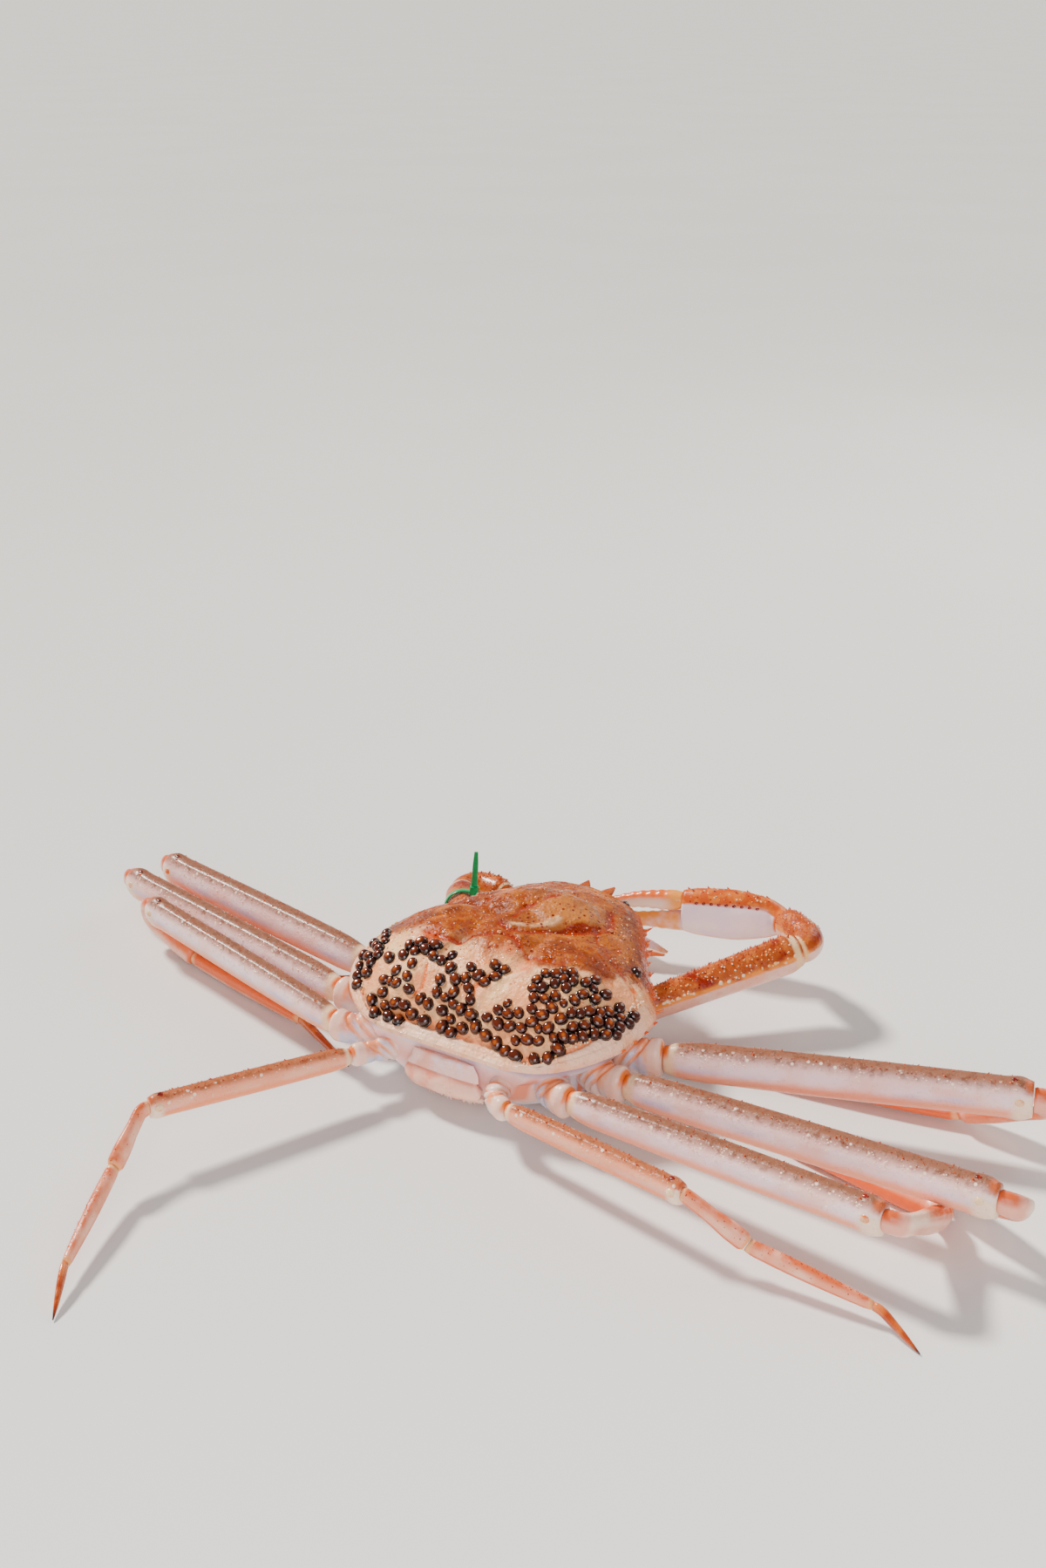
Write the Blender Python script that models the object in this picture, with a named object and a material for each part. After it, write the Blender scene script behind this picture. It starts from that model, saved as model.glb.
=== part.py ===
"""Snow crab: a still, life-size model lying on its belly, legs and claws in node pieces.

Metres, +Z up. The crab faces +Y and its right side is +X. The origin is at the middle of
the whole model's footprint, on the floor.
"""

import math
import random

import bmesh
import bpy
import numpy as np
from mathutils import Matrix, Quaternion, Vector

# Driving sizes
CARAPACE_WIDTH = 0.1155
CARAPACE_LENGTH = 0.99 * CARAPACE_WIDTH
RIM_HEIGHT = 0.027                          # side rim of the carapace above the floor
DOME_HEIGHT = 0.183 * CARAPACE_WIDTH        # top of the dome above the rim
RIM_THICK = 0.0016
GAP = 0.0003                                # left between pieces that touch
SEED = 7

# Lengths of the limb pieces, each worked out from the width of the carapace
MERUS_LENGTH = [1.07 * CARAPACE_WIDTH, 1.12 * CARAPACE_WIDTH,
                1.00 * CARAPACE_WIDTH, 0.63 * CARAPACE_WIDTH]
CARPUS_SHARE = [0.34, 0.34, 0.34, 0.33]
PROPODUS_SHARE = [0.57, 0.57, 0.57, 0.56]
DACTYL_SHARE = [0.32, 0.32, 0.32, 0.26]
MERUS_HALF_DEPTH = [0.0075, 0.0069, 0.0064, 0.0044]
LEG_FLATNESS = 0.72                         # half breadth of a leg over its half depth
CLAW_MERUS_LENGTH = 0.585 * CARAPACE_WIDTH
CLAW_CARPUS_LENGTH = 0.234 * CARAPACE_WIDTH
PALM_LENGTH = 0.37 * CARAPACE_WIDTH
FINGER_LENGTH = 0.32 * CARAPACE_WIDTH
PALM_HALF_DEPTH = 0.0104
PALM_HALF_BREADTH = 0.0070

# Where each merus starts: to the side, forward and up from the carapace's middle
LEG_ROOT = [(0.0635, -0.0070, 0.0175), (0.0600, -0.0288, 0.0175),
            (0.0485, -0.0470, 0.0175), (0.0322, -0.0608, 0.0165)]
COXA_ROOT = [(0.0430, -0.0060, 0.0140), (0.0415, -0.0205, 0.0140),
             (0.0345, -0.0335, 0.0140), (0.0215, -0.0415, 0.0140)]
CLAW_ROOT = (0.0368, 0.0208, 0.0138)
CLAW_COXA_ROOT = (0.0205, 0.0085, 0.0125)
CLAW_COXA_HALF_DEPTH = 0.0070

# Direction of each limb piece as (bearing, climb) in degrees. The bearing is counted
# from straight out sideways towards the head, so both sides read alike. Where the
# carpus has no climb it drops just far enough to lay the propodus on the floor.
LEG_POSE = {
    "right": [
        {"merus": (15, 3), "carpus": (176, None), "propodus": (190, 0), "dactyl": (194, 0)},
        {"merus": (-2, 3), "carpus": (150, None), "propodus": (174, 0), "dactyl": (186, 0)},
        {"merus": (-7, 4), "carpus": (85, None), "propodus": (171, 0), "dactyl": (175, 0)},
        {"merus": (-11, 3), "carpus": (-1, -24), "propodus": (0, -7), "dactyl": (-24, -17)},
    ],
    "left": [
        {"merus": (12, -1), "carpus": (180, None), "propodus": (191, 0), "dactyl": (142, 0)},
        {"merus": (12, 0), "carpus": (178, None), "propodus": (191, 0), "dactyl": (142, 0)},
        {"merus": (14, 1), "carpus": (191, None), "propodus": (193, 0), "dactyl": (206, 0)},
        {"merus": (-61, 3), "carpus": (-104, -24), "propodus": (-112, -7),
         "dactyl": (-122, -17)},
    ],
}
CLAW_POSE = {
    "right": {"merus": (50, 11), "carpus": (140, -8), "palm": (196, -2), "fingers": (193, -8)},
    "left": {"merus": (56, -6), "carpus": (196, 3), "palm": (188, 0), "fingers": (184, 0)},
}
TAG_PLACE = 0.74                            # along the merus that carries the tag
TAG_HALF_WIDTH = 0.0013
TAG_THICK = 0.0008
TAG_TAIL = 0.0200
FLAT_EDGE = math.cos(math.pi / 12)          # how low a ring's flat edge lies
KNEE_TURN = 0.0052                          # radius of the bend just past a knee
CLAW_TURN = 0.0066                          # radius of the bend past the claw's merus
SOFT_TURN = 0.0100                          # radius of an easy bend

# Outline of the carapace: place along its length from the rear, and half its breadth
# there as a share of its width
OUTLINE_PLACE = [0.0, 0.03, 0.08, 0.15, 0.25, 0.40, 0.55, 0.68, 0.80, 0.885]
OUTLINE_HALF = [0.212, 0.310, 0.384, 0.446, 0.489, 0.500, 0.428, 0.342, 0.274, 0.212]
MIDDLE_PLACE = 0.45                         # the carapace's middle, above the origin
DOME_PLACE = [0.0, 0.035, 0.09, 0.18, 0.32, 0.50, 0.66, 0.80, 0.885]
DOME_SHARE = [0.0, 0.10, 0.42, 0.74, 0.97, 1.00, 0.88, 0.62, 0.40]
RIM_PLACE = [0.0, 0.20, 0.55, 1.0]
RIM_RISE = [-0.0025, 0.0, 0.0, 0.0080]
FRONT_PLACE = OUTLINE_PLACE[-1]
REAR_WALL_PLACE = OUTLINE_PLACE[1]           # where the body below the carapace starts
BEAD_HEIGHT = 0.0009                        # rolled rim along the rear of the carapace
BEAD_INSET = 0.0022
BEAD_SPREAD = 0.0013

# Swellings and furrows of the carapace: sideways, forward, spread sideways, spread
# forward, and height, in shares of the carapace's width. Each is on both sides.
RELIEF = [
    (0.000, 0.200, 0.120, 0.100, 0.024),
    (0.085, 0.165, 0.070, 0.070, 0.012),
    (0.000, -0.150, 0.075, 0.100, 0.016),
    (0.270, -0.110, 0.140, 0.170, 0.024),
    (0.270, 0.200, 0.090, 0.080, 0.012),
    (0.130, 0.055, 0.055, 0.030, -0.022),
    (0.250, 0.085, 0.080, 0.028, -0.020),
    (0.115, -0.130, 0.026, 0.110, -0.020),
]

# Spines on the margin of the carapace, on both sides: place along its length, height
MARGIN_SPINES = [(0.845, 0.0030), (0.800, 0.0016), (0.755, 0.0020), (0.705, 0.0014),
                 (0.655, 0.0018), (0.600, 0.0013), (0.545, 0.0016), (0.475, 0.0026),
                 (0.420, 0.0012), (0.360, 0.0014), (0.300, 0.0011), (0.240, 0.0012)]
SPINE_RADIUS = 0.0007
WART_RADIUS = 0.0009

# Patches of warts on the carapace: middle sideways and forward, spread sideways and
# forward, in metres, and how many
WART_PATCHES = [
    (0.0, 0.0235, 0.0140, 0.0110, 9),
    (0.0300, 0.0160, 0.0080, 0.0090, 5),
    (-0.0300, 0.0160, 0.0080, 0.0090, 5),
    (0.0, -0.0130, 0.0060, 0.0110, 4),
]

# Patches of leech cocoons: middle sideways and forward, half length and half breadth in
# metres, turn in degrees, and how many
COCOON_HALF_LENGTH = 0.0022
COCOON_HALF_BREADTH = 0.0018
COCOON_HEIGHT = 0.0018
COCOON_SPACING = 0.0036
COCOON_PATCHES = [
    (0.0350, -0.0275, 0.0125, 0.0110, 0, 24),
    (0.0265, -0.0405, 0.0150, 0.0065, 5, 17),
    (0.0515, -0.0205, 0.0105, 0.0036, 74, 10),
    (0.0425, -0.0160, 0.0060, 0.0020, -10, 4),
    (-0.0010, -0.0385, 0.0105, 0.0048, 84, 13),
    (0.0060, -0.0300, 0.0070, 0.0032, 70, 6),
    (0.0090, -0.0445, 0.0080, 0.0024, -10, 5),
    (-0.0095, -0.0365, 0.0065, 0.0026, 70, 4),
    (-0.0165, -0.0450, 0.0105, 0.0030, 10, 8),
    (-0.0275, -0.0415, 0.0075, 0.0055, 40, 9),
    (-0.0270, -0.0275, 0.0095, 0.0022, 30, 7),
    (-0.0145, -0.0275, 0.0060, 0.0018, 20, 4),
    (-0.0250, -0.0345, 0.0045, 0.0026, 40, 4),
    (-0.0450, -0.0285, 0.0115, 0.0042, 98, 14),
    (0.0445, 0.0080, 0.0010, 0.0010, 0, 1),
]


# Scene and meshes


def clear_scene():
    for old in list(bpy.data.objects):
        bpy.data.objects.remove(old, do_unlink=True)


def make_material(name, colour, roughness):
    material = bpy.data.materials.new(name)
    material.use_nodes = True
    shader = material.node_tree.nodes["Principled BSDF"]
    shader.inputs["Base Color"].default_value = (*colour, 1.0)
    shader.inputs["Roughness"].default_value = roughness
    shader.inputs["Metallic"].default_value = 0.0
    return material


def add_object(name, points, faces):
    mesh = bpy.data.meshes.new(name)
    mesh.from_pydata([tuple(point) for point in points], [], faces)
    work = bmesh.new()
    work.from_mesh(mesh)
    bmesh.ops.remove_doubles(work, verts=work.verts, dist=1e-7)
    bmesh.ops.recalc_face_normals(work, faces=work.faces)
    work.to_mesh(mesh)
    work.free()
    body = bpy.data.objects.new(name, mesh)
    bpy.context.scene.collection.objects.link(body)
    return body


def finish_piece(body, colour, roughness=0.4):
    """Give a piece its own material and smooth its round sides."""
    body.data.materials.clear()
    body.data.materials.append(make_material(body.name, colour, roughness))
    body.data.shade_smooth()
    body.data.set_sharp_from_angle(angle=math.radians(50))


def largest_shell(mesh):
    """Keep only the closed surface with the most volume."""
    work = bmesh.new()
    work.from_mesh(mesh)
    work.verts.ensure_lookup_table()
    group_of = {}
    groups = []
    for start in work.verts:
        if start.index in group_of:
            continue
        group = {start.index}
        stack = [start]
        while stack:
            vert = stack.pop()
            for edge in vert.link_edges:
                other = edge.other_vert(vert)
                if other.index not in group:
                    group.add(other.index)
                    stack.append(other)
        for index in group:
            group_of[index] = len(groups)
        groups.append(group)
    if len(groups) > 1:
        volumes = [0.0] * len(groups)
        for face in work.faces:
            corners = [vert.co for vert in face.verts]
            for second, third in zip(corners[1:], corners[2:]):
                volumes[group_of[face.verts[0].index]] += corners[0].dot(second.cross(third)) / 6
        keep = max(range(len(groups)), key=lambda index: volumes[index])
        scraps = [vert for vert in work.verts if group_of[vert.index] != keep]
        bmesh.ops.delete(work, geom=scraps, context="VERTS")
    work.to_mesh(mesh)
    work.free()


def apply_boolean(body, operation, tools):
    """Fuse the tools into the body, or cut them out of it, and remove them."""
    folder = bpy.data.collections.new(body.name + "_tools")
    bpy.context.scene.collection.children.link(folder)
    for tool in tools:
        for owner in list(tool.users_collection):
            owner.objects.unlink(tool)
        folder.objects.link(tool)
    step = body.modifiers.new("boolean", "BOOLEAN")
    step.operation = operation
    step.operand_type = "COLLECTION"
    step.collection = folder
    step.solver = "EXACT"
    bpy.context.view_layer.update()
    graph = bpy.context.evaluated_depsgraph_get()
    result = bpy.data.meshes.new_from_object(body.evaluated_get(graph), depsgraph=graph)
    body.modifiers.clear()
    body.data = result
    largest_shell(body.data)
    for tool in tools:
        bpy.data.objects.remove(tool, do_unlink=True)
    bpy.data.collections.remove(folder)


# Lofted limbs


def side_sign(side):
    return 1.0 if side == "right" else -1.0


def heading(side, bearing, climb):
    """Unit vector for a bearing and a climb on one side of the body."""
    turn = math.radians(bearing)
    rise = math.radians(climb)
    flat = math.cos(rise)
    return Vector((side_sign(side) * math.cos(turn) * flat, math.sin(turn) * flat,
                   math.sin(rise)))


def ring_points(centre, along, upward, half_breadth, half_depth, sides):
    """Oval ring square to its path, with a flat edge at its lowest point."""
    across = along.cross(upward).normalized()
    upright = across.cross(along).normalized()
    points = []
    for index in range(sides):
        angle = 2 * math.pi * (index + 0.5) / sides
        points.append(centre + across * (half_breadth * math.sin(angle))
                      - upright * (half_depth * math.cos(angle)))
    return points


def loft(name, stations, sides=12):
    """Closed piece through oval rings. A station is centre, along, upward, half breadth
    and half depth. Nothing goes below the floor."""
    points = []
    for station in stations:
        points.extend(ring_points(*station, sides))
    for point in points:
        point.z = max(point.z, 0.0)
    faces = []
    for ring in range(len(stations) - 1):
        for index in range(sides):
            following = (index + 1) % sides
            low = ring * sides
            high = low + sides
            faces.append((low + index, low + following, high + following, high + index))
    faces.append(tuple(range(sides))[::-1])
    last = (len(stations) - 1) * sides
    faces.append(tuple(last + index for index in range(sides)))
    return add_object(name, points, faces)


def bent_path(start, old_way, new_way, turn_radius, length, places):
    """Points and directions: an arc from the old way to the new, then straight on
    through each of the places, which are shares of the length."""
    turn = old_way.angle(new_way)
    path = [(start.copy(), old_way.copy())]
    axis = old_way.cross(new_way)
    bend_length = 0.0
    if turn > math.radians(2) and axis.length > 1e-6:
        bend_length = turn_radius * turn
        axis.normalize()
        towards = axis.cross(old_way).normalized()
        centre = start + towards * turn_radius
        steps = max(1, round(turn / math.radians(32)))
        for step in range(1, steps + 1):
            spin = Quaternion(axis, turn * step / steps)
            path.append((centre - spin @ (towards * turn_radius), spin @ old_way))
    corner = path[-1][0]
    for place in places:
        run = length * place - bend_length
        if run > 0.03 * length or place == 1.0:
            path.append((corner + new_way * run, new_way.copy()))
    return path


def carried_up(path, first_up):
    """Upward direction at each point of a path, turned only as the path turns."""
    ups = []
    upward = first_up
    before = path[0][1]
    for _, along in path:
        upward = before.rotation_difference(along) @ upward
        upward = (upward - along * upward.dot(along)).normalized()
        ups.append(upward)
        before = along
    return ups


def path_shares(path):
    """How far along the whole path each of its points lies, from 0 to 1."""
    lengths = [0.0]
    for (first, _), (second, _) in zip(path, path[1:]):
        lengths.append(lengths[-1] + (second - first).length)
    return [length / lengths[-1] for length in lengths]


def limb_piece(name, start, old_way, new_way, turn_radius, length, profile, first_up):
    """Loft along a bent path. The profile gives places along it, half breadths and half
    depths. Returns the piece and its stations."""
    places, breadths, depths = profile
    path = bent_path(start + old_way * GAP, old_way, new_way, turn_radius, length,
                     places[1:])
    ups = carried_up(path, first_up)
    shares = path_shares(path)
    stations = []
    for (centre, along), upward, share in zip(path, ups, shares):
        stations.append((centre, along, upward, float(np.interp(share, places, breadths)),
                         float(np.interp(share, places, depths))))
    return loft(name, stations), stations


def on_surface(stations, share, angle):
    """Point and outward direction on a limb: a share of its length, and an angle in
    degrees from its upper edge round towards its rear side."""
    lengths = path_shares([(station[0], station[1]) for station in stations])
    index = 0
    while index < len(lengths) - 2 and share > lengths[index + 1]:
        index += 1
    first, second = stations[index], stations[index + 1]
    part = (share - lengths[index]) / (lengths[index + 1] - lengths[index])
    centre = first[0].lerp(second[0], part)
    along = first[1].lerp(second[1], part).normalized()
    upward = first[2].lerp(second[2], part)
    breadth = first[3] + (second[3] - first[3]) * part
    depth = first[4] + (second[4] - first[4]) * part
    across = along.cross(upward).normalized()
    upright = across.cross(along).normalized()
    turn = math.radians(angle)
    point = centre + across * (breadth * math.sin(turn)) + upright * (depth * math.cos(turn))
    outward = across * (math.sin(turn) / breadth) + upright * (math.cos(turn) / depth)
    return point, outward.normalized(), along


def add_spines(piece, side, stations, rows):
    """Fuse rows of small spines to a limb. A row is its angle, first and last share,
    number, radius and height."""
    tools = []
    for angle, first, last, number, radius, height in rows:
        for step in range(number):
            share = first + (last - first) * step / (number - 1)
            point, outward, along = on_surface(stations, share, angle * side_sign(side))
            way = (outward + along * 0.4).normalized()
            tools.append(cone(point - outward * (0.5 * radius), way, radius, height + radius))
    apply_boolean(piece, "UNION", tools)


# Carapace


def eased(value, places, values):
    """Smooth curve through values at rising places, with no overshoot between them."""
    value = min(max(value, places[0]), places[-1])
    index = 0
    while index < len(places) - 2 and value > places[index + 1]:
        index += 1
    slopes = [(values[step + 1] - values[step]) / (places[step + 1] - places[step])
              for step in range(len(places) - 1)]

    def tangent(knot):
        if knot == 0:
            return slopes[0]
        if knot == len(places) - 1:
            return slopes[-1]
        before, after = slopes[knot - 1], slopes[knot]
        if before * after <= 0:
            return 0.0
        return 2 * before * after / (before + after)

    span = places[index + 1] - places[index]
    share = (value - places[index]) / span
    rest = 1 - share
    return (values[index] * (1 + 2 * share) * rest ** 2
            + values[index + 1] * (3 - 2 * share) * share ** 2
            + span * share * rest * (tangent(index) * rest - tangent(index + 1) * share))


def place_to_y(place):
    return (place - MIDDLE_PLACE) * CARAPACE_LENGTH


def y_to_place(y):
    return y / CARAPACE_LENGTH + MIDDLE_PLACE


def half_breadth_at(y):
    return eased(y_to_place(y), OUTLINE_PLACE, OUTLINE_HALF) * CARAPACE_WIDTH


def rim_at(y):
    return RIM_HEIGHT + eased(y_to_place(y), RIM_PLACE, RIM_RISE)


def relief_at(x, y):
    height = 0.0
    for side, forward, wide, deep, rise in RELIEF:
        for sign in ((1, -1) if side else (1,)):
            across = (x / CARAPACE_WIDTH - sign * side) / wide
            along = (y / CARAPACE_WIDTH - forward) / deep
            height += rise * math.exp(-across * across - along * along)
    return height * CARAPACE_WIDTH


def bead_at(x, y):
    """Height of the rolled rim, which runs along the rear half of the margin."""
    inset = min(half_breadth_at(y) - abs(x), y_to_place(y) * CARAPACE_LENGTH)
    across = (inset - BEAD_INSET) / BEAD_SPREAD
    return BEAD_HEIGHT * math.exp(-across * across) * max(0.0, 1 - y_to_place(y) / 0.42)


def carapace_top(x, y):
    """Height of the carapace's upper surface above the floor."""
    share = min(1.0, abs(x) / half_breadth_at(y))
    rise = eased(y_to_place(y), DOME_PLACE, DOME_SHARE)
    arch = (1 - share ** 2.3) ** 0.62
    fade = min(1.0, 4 * (1 - share)) * min(1.0, rise * 2.5)
    return (rim_at(y) + RIM_THICK + DOME_HEIGHT * rise * arch + relief_at(x, y) * fade
            + bead_at(x, y))


def carapace_normal(x, y):
    reach = 0.0004
    across = (carapace_top(x + reach, y) - carapace_top(x - reach, y)) / (2 * reach)
    along = (carapace_top(x, y + reach) - carapace_top(x, y - reach)) / (2 * reach)
    return Vector((-across, -along, 1)).normalized()


def carapace_rows():
    rows = []
    for first, second in zip(OUTLINE_PLACE, OUTLINE_PLACE[1:]):
        steps = max(1, round((second - first) / 0.045))
        rows.extend(first + (second - first) * step / steps for step in range(steps))
    rows.append(OUTLINE_PLACE[-1])
    return rows


def build_carapace():
    columns = 25
    points = []
    faces = []
    rows = carapace_rows()
    for place in rows:
        y = place_to_y(place)
        half = half_breadth_at(y)
        points.append((-half, y, rim_at(y)))
        for column in range(columns):
            share = math.sin(math.pi / 2 * (2 * column / (columns - 1) - 1))
            points.append((half * share, y, carapace_top(half * share, y)))
        points.append((half, y, rim_at(y)))
    width = columns + 2
    for row in range(len(rows) - 1):
        for column in range(width):
            following = (column + 1) % width
            low = row * width
            high = low + width
            faces.append((low + column, low + following, high + following, high + column))
    for base in (0, (len(rows) - 1) * width):
        middle = base + width // 2
        faces.append((middle - 1, middle, middle + 1))
        for step in range(1, width // 2):
            faces.append((middle - step - 1, middle - step, middle + step,
                          middle + step + 1))
    body = add_object("carapace", points, faces)
    apply_boolean(body, "UNION", build_rostrum() + margin_spines() + warts() + cocoons())
    finish_piece(body, (0.55, 0.30, 0.20))


def cone(root, way, radius, height, sides=4):
    """Small closed spine, its foot sunk into what carries it."""
    first = way.orthogonal().normalized()
    second = way.cross(first)
    foot = root - way * (0.6 * radius)
    points = []
    for index in range(sides):
        angle = 2 * math.pi * index / sides
        points.append(foot + (first * math.cos(angle) + second * math.sin(angle)) * radius)
    points.append(root + way * height)
    faces = [(index, (index + 1) % sides, sides) for index in range(sides)]
    faces.append(tuple(range(sides)))
    return add_object("spine", points, faces)


def dome(root, up, along, half_length, half_breadth, height, sides=5):
    """Small closed oval mound, its foot sunk into what carries it."""
    along = (along - up * along.dot(up)).normalized()
    across = up.cross(along)
    points = []
    for level, share in ((-0.45, 1.0), (0.62, 0.84)):
        for index in range(sides):
            angle = 2 * math.pi * index / sides
            points.append(root + up * (height * level)
                          + along * (half_length * share * math.cos(angle))
                          + across * (half_breadth * share * math.sin(angle)))
    points.append(root + up * height)
    faces = []
    for index in range(sides):
        following = (index + 1) % sides
        faces.append((index, following, sides + following, sides + index))
        faces.append((sides + index, sides + following, 2 * sides))
    faces.append(tuple(range(sides)))
    return add_object("mound", points, faces)


def scattered(patches, spacing, seed):
    """Seeded places in oval patches, none closer together than the spacing."""
    chance = random.Random(seed)
    places = []
    for middle_x, middle_y, half_length, half_breadth, turn, number in patches:
        wanted = len(places) + number
        for _ in range(3000):
            if len(places) == wanted:
                break
            reach = math.sqrt(chance.random())
            angle = 2 * math.pi * chance.random()
            along = half_length * reach * math.cos(angle)
            across = half_breadth * reach * math.sin(angle)
            spin = math.radians(turn)
            x = middle_x + along * math.cos(spin) - across * math.sin(spin)
            y = middle_y + along * math.sin(spin) + across * math.cos(spin)
            if half_breadth_at(y) - abs(x) < 0.0025:
                continue
            if all(math.hypot(x - place[0], y - place[1]) > spacing for place in places):
                places.append((x, y, 360 * chance.random()))
    return places


def margin_spines():
    tools = []
    for place, height in MARGIN_SPINES:
        y = place_to_y(place)
        half = half_breadth_at(y)
        slope = (half_breadth_at(y + 0.001) - half_breadth_at(y - 0.001)) / 0.002
        for sign in (-1, 1):
            way = Vector((sign, -slope + 0.35, 0.25)).normalized()
            root = Vector((sign * (half - 0.0003), y, rim_at(y) + RIM_THICK * 0.55))
            tools.append(cone(root, way, SPINE_RADIUS, height))
    return tools


def warts():
    tools = []
    patches = [(x, y, wide, deep, 0, number) for x, y, wide, deep, number in WART_PATCHES]
    for x, y, _ in scattered(patches, 0.0030, SEED + 1):
        root = Vector((x, y, carapace_top(x, y)))
        tools.append(cone(root, carapace_normal(x, y), WART_RADIUS, 0.0008))
    return tools


def cocoons():
    tools = []
    for x, y, turn in scattered(COCOON_PATCHES, COCOON_SPACING, SEED):
        spin = math.radians(turn)
        root = Vector((x, y, carapace_top(x, y)))
        tools.append(dome(root, carapace_normal(x, y),
                          Vector((math.cos(spin), math.sin(spin), 0)), COCOON_HALF_LENGTH,
                          COCOON_HALF_BREADTH, COCOON_HEIGHT))
    return tools


def build_rostrum():
    """Two short flat horns and the bridge that carries them, between the eyes."""
    front = place_to_y(FRONT_PLACE)
    base_height = rim_at(front) + RIM_THICK + 0.0025
    tip_y = place_to_y(1.0)
    tools = []
    bridge = [(Vector((0, front - 0.006, base_height)), 0.0100, 0.0030),
              (Vector((0, front + 0.001, base_height)), 0.0090, 0.0028),
              (Vector((0, front + 0.006, base_height + 0.0003)), 0.0078, 0.0016)]
    stations = [(centre, Vector((0, 1, 0)), Vector((0, 0, 1)), breadth, depth)
                for centre, breadth, depth in bridge]
    tools.append(loft("rostrum_bridge", stations, 10))
    for sign in (-1, 1):
        way = Vector((sign * 0.16, 1, 0.06)).normalized()
        root = Vector((sign * 0.0040, front + 0.002, base_height))
        reach = (tip_y - root.y) / way.y
        stations = [(root, way, Vector((0, 0, 1)), 0.0034, 0.0013),
                    (root + way * reach * 0.55, way, Vector((0, 0, 1)), 0.0026, 0.0010),
                    (root + way * reach, way, Vector((0, 0, 1)), 0.0004, 0.0004)]
        tools.append(loft("rostrum_horn", stations, 8))
    return tools


# Underside and abdomen


def underside_section(y, grow):
    """Half of the body's cross-section below the carapace, from the rim to the belly."""
    place = y_to_place(y)
    top = rim_at(y) - GAP
    wide = half_breadth_at(y) - 0.0035
    tuck = float(np.interp(place, [0.0, 0.15, 0.45, 0.65, 0.9],
                           [0.004, 0.010, 0.012, 0.018, 0.008]))
    belly = float(np.interp(place, [0.0, 0.12, 0.3, 0.62, 0.8, 0.9],
                            [0.0110, 0.0030, 0.0, 0.0, 0.0060, 0.0120]))
    sole = float(np.interp(place, [0.0, 0.2, 0.45, 0.7, 0.9],
                           [0.55, 0.56, 0.52, 0.42, 0.62])) * wide
    middle = max(sole * 1.05, wide - tuck)
    half = [(wide, top), (wide - 0.0015, top - 0.0045), (middle, 0.0165),
            (middle * 0.96, belly + 0.0052), (sole, belly)]
    return [(x + grow, z) for x, z in half]


def build_underside(name="underside", grow=0.0):
    """Body below the carapace. A grown copy is used to trim what meets it."""
    rows = [place for place in carapace_rows() if place >= REAR_WALL_PLACE]
    points = []
    for index, place in enumerate(rows):
        y = place_to_y(place)
        if index == 0:
            y -= grow
        if index == len(rows) - 1:
            y += grow
        half = underside_section(place_to_y(place), grow)
        points.extend((x, y, z) for x, z in half)
        points.extend((-x, y, z) for x, z in reversed(half))
    width = len(points) // len(rows)
    faces = []
    for row in range(len(rows) - 1):
        for column in range(width):
            near = row * width + column
            beside = row * width + (column + 1) % width
            if column < width // 2:
                faces.append((near, beside, beside + width))
                faces.append((near, beside + width, near + width))
            else:
                faces.append((near, beside, near + width))
                faces.append((beside, beside + width, near + width))
    faces.append(tuple(range(width)))
    last = (len(rows) - 1) * width
    faces.append(tuple(last + column for column in range(width)))
    return add_object(name, points, faces)


def abdomen_path():
    """Middle line of the abdomen: down the rear of the body and forward under the belly,
    with half breadth and half thickness."""
    rear = place_to_y(REAR_WALL_PLACE)
    return [
        (Vector((0, rear - 0.0020, RIM_HEIGHT - 0.0058)), 0.0140, 0.0018),
        (Vector((0, rear - 0.0028, RIM_HEIGHT - 0.0110)), 0.0152, 0.0022),
        (Vector((0, rear - 0.0034, RIM_HEIGHT - 0.0150)), 0.0160, 0.0026),
        (Vector((0, rear - 0.0012, 0.0082)), 0.0156, 0.0024),
        (Vector((0, rear + 0.0050, 0.0050)), 0.0142, 0.0018),
        (Vector((0, rear + 0.0160, 0.0022)), 0.0120, 0.0015),
        (Vector((0, rear + 0.0300, 0.0014)), 0.0100, 0.0014),
        (Vector((0, rear + 0.0440, 0.0014)), 0.0062, 0.0014),
        (Vector((0, rear + 0.0520, 0.0014)), 0.0030, 0.0012),
    ]


def build_abdomen(name="abdomen", grow=0.0):
    middle = abdomen_path()
    stations = []
    for index, (centre, breadth, depth) in enumerate(middle):
        before = middle[max(0, index - 1)][0]
        after = middle[min(len(middle) - 1, index + 1)][0]
        along = (after - before).normalized()
        centre = centre.copy()
        if index == 0:
            centre -= along * grow
        if index == len(middle) - 1:
            centre += along * grow
        stations.append((centre, along, Vector((1, 0, 0)).cross(along), breadth + grow,
                         depth + grow))
    return loft(name, stations, 10)


# Legs and claws


def leg_profile(half_depth, kind):
    """Places along a piece, with its half breadths and half depths."""
    shapes = {
        "merus": ([0.0, 0.04, 0.12, 0.50, 0.92, 0.965, 1.0],
                  [0.66, 0.86, 0.97, 1.02, 0.99, 1.05, 0.86]),
        "carpus": ([0.0, 0.10, 0.40, 0.76, 0.94, 1.0],
                   [0.62, 0.64, 0.66, 0.82, 0.80, 0.60]),
        "propodus": ([0.0, 0.06, 0.30, 0.94, 1.0],
                     [0.56, 0.62, 0.66, 0.45, 0.36]),
        "dactyl": ([0.0, 0.12, 0.55, 0.85, 1.0],
                   [0.36, 0.38, 0.30, 0.16, 0.06]),
    }
    places, shares = shapes[kind]
    depths = [half_depth * share for share in shares]
    breadths = [depth * LEG_FLATNESS for depth in depths]
    return places, breadths, depths


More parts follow.
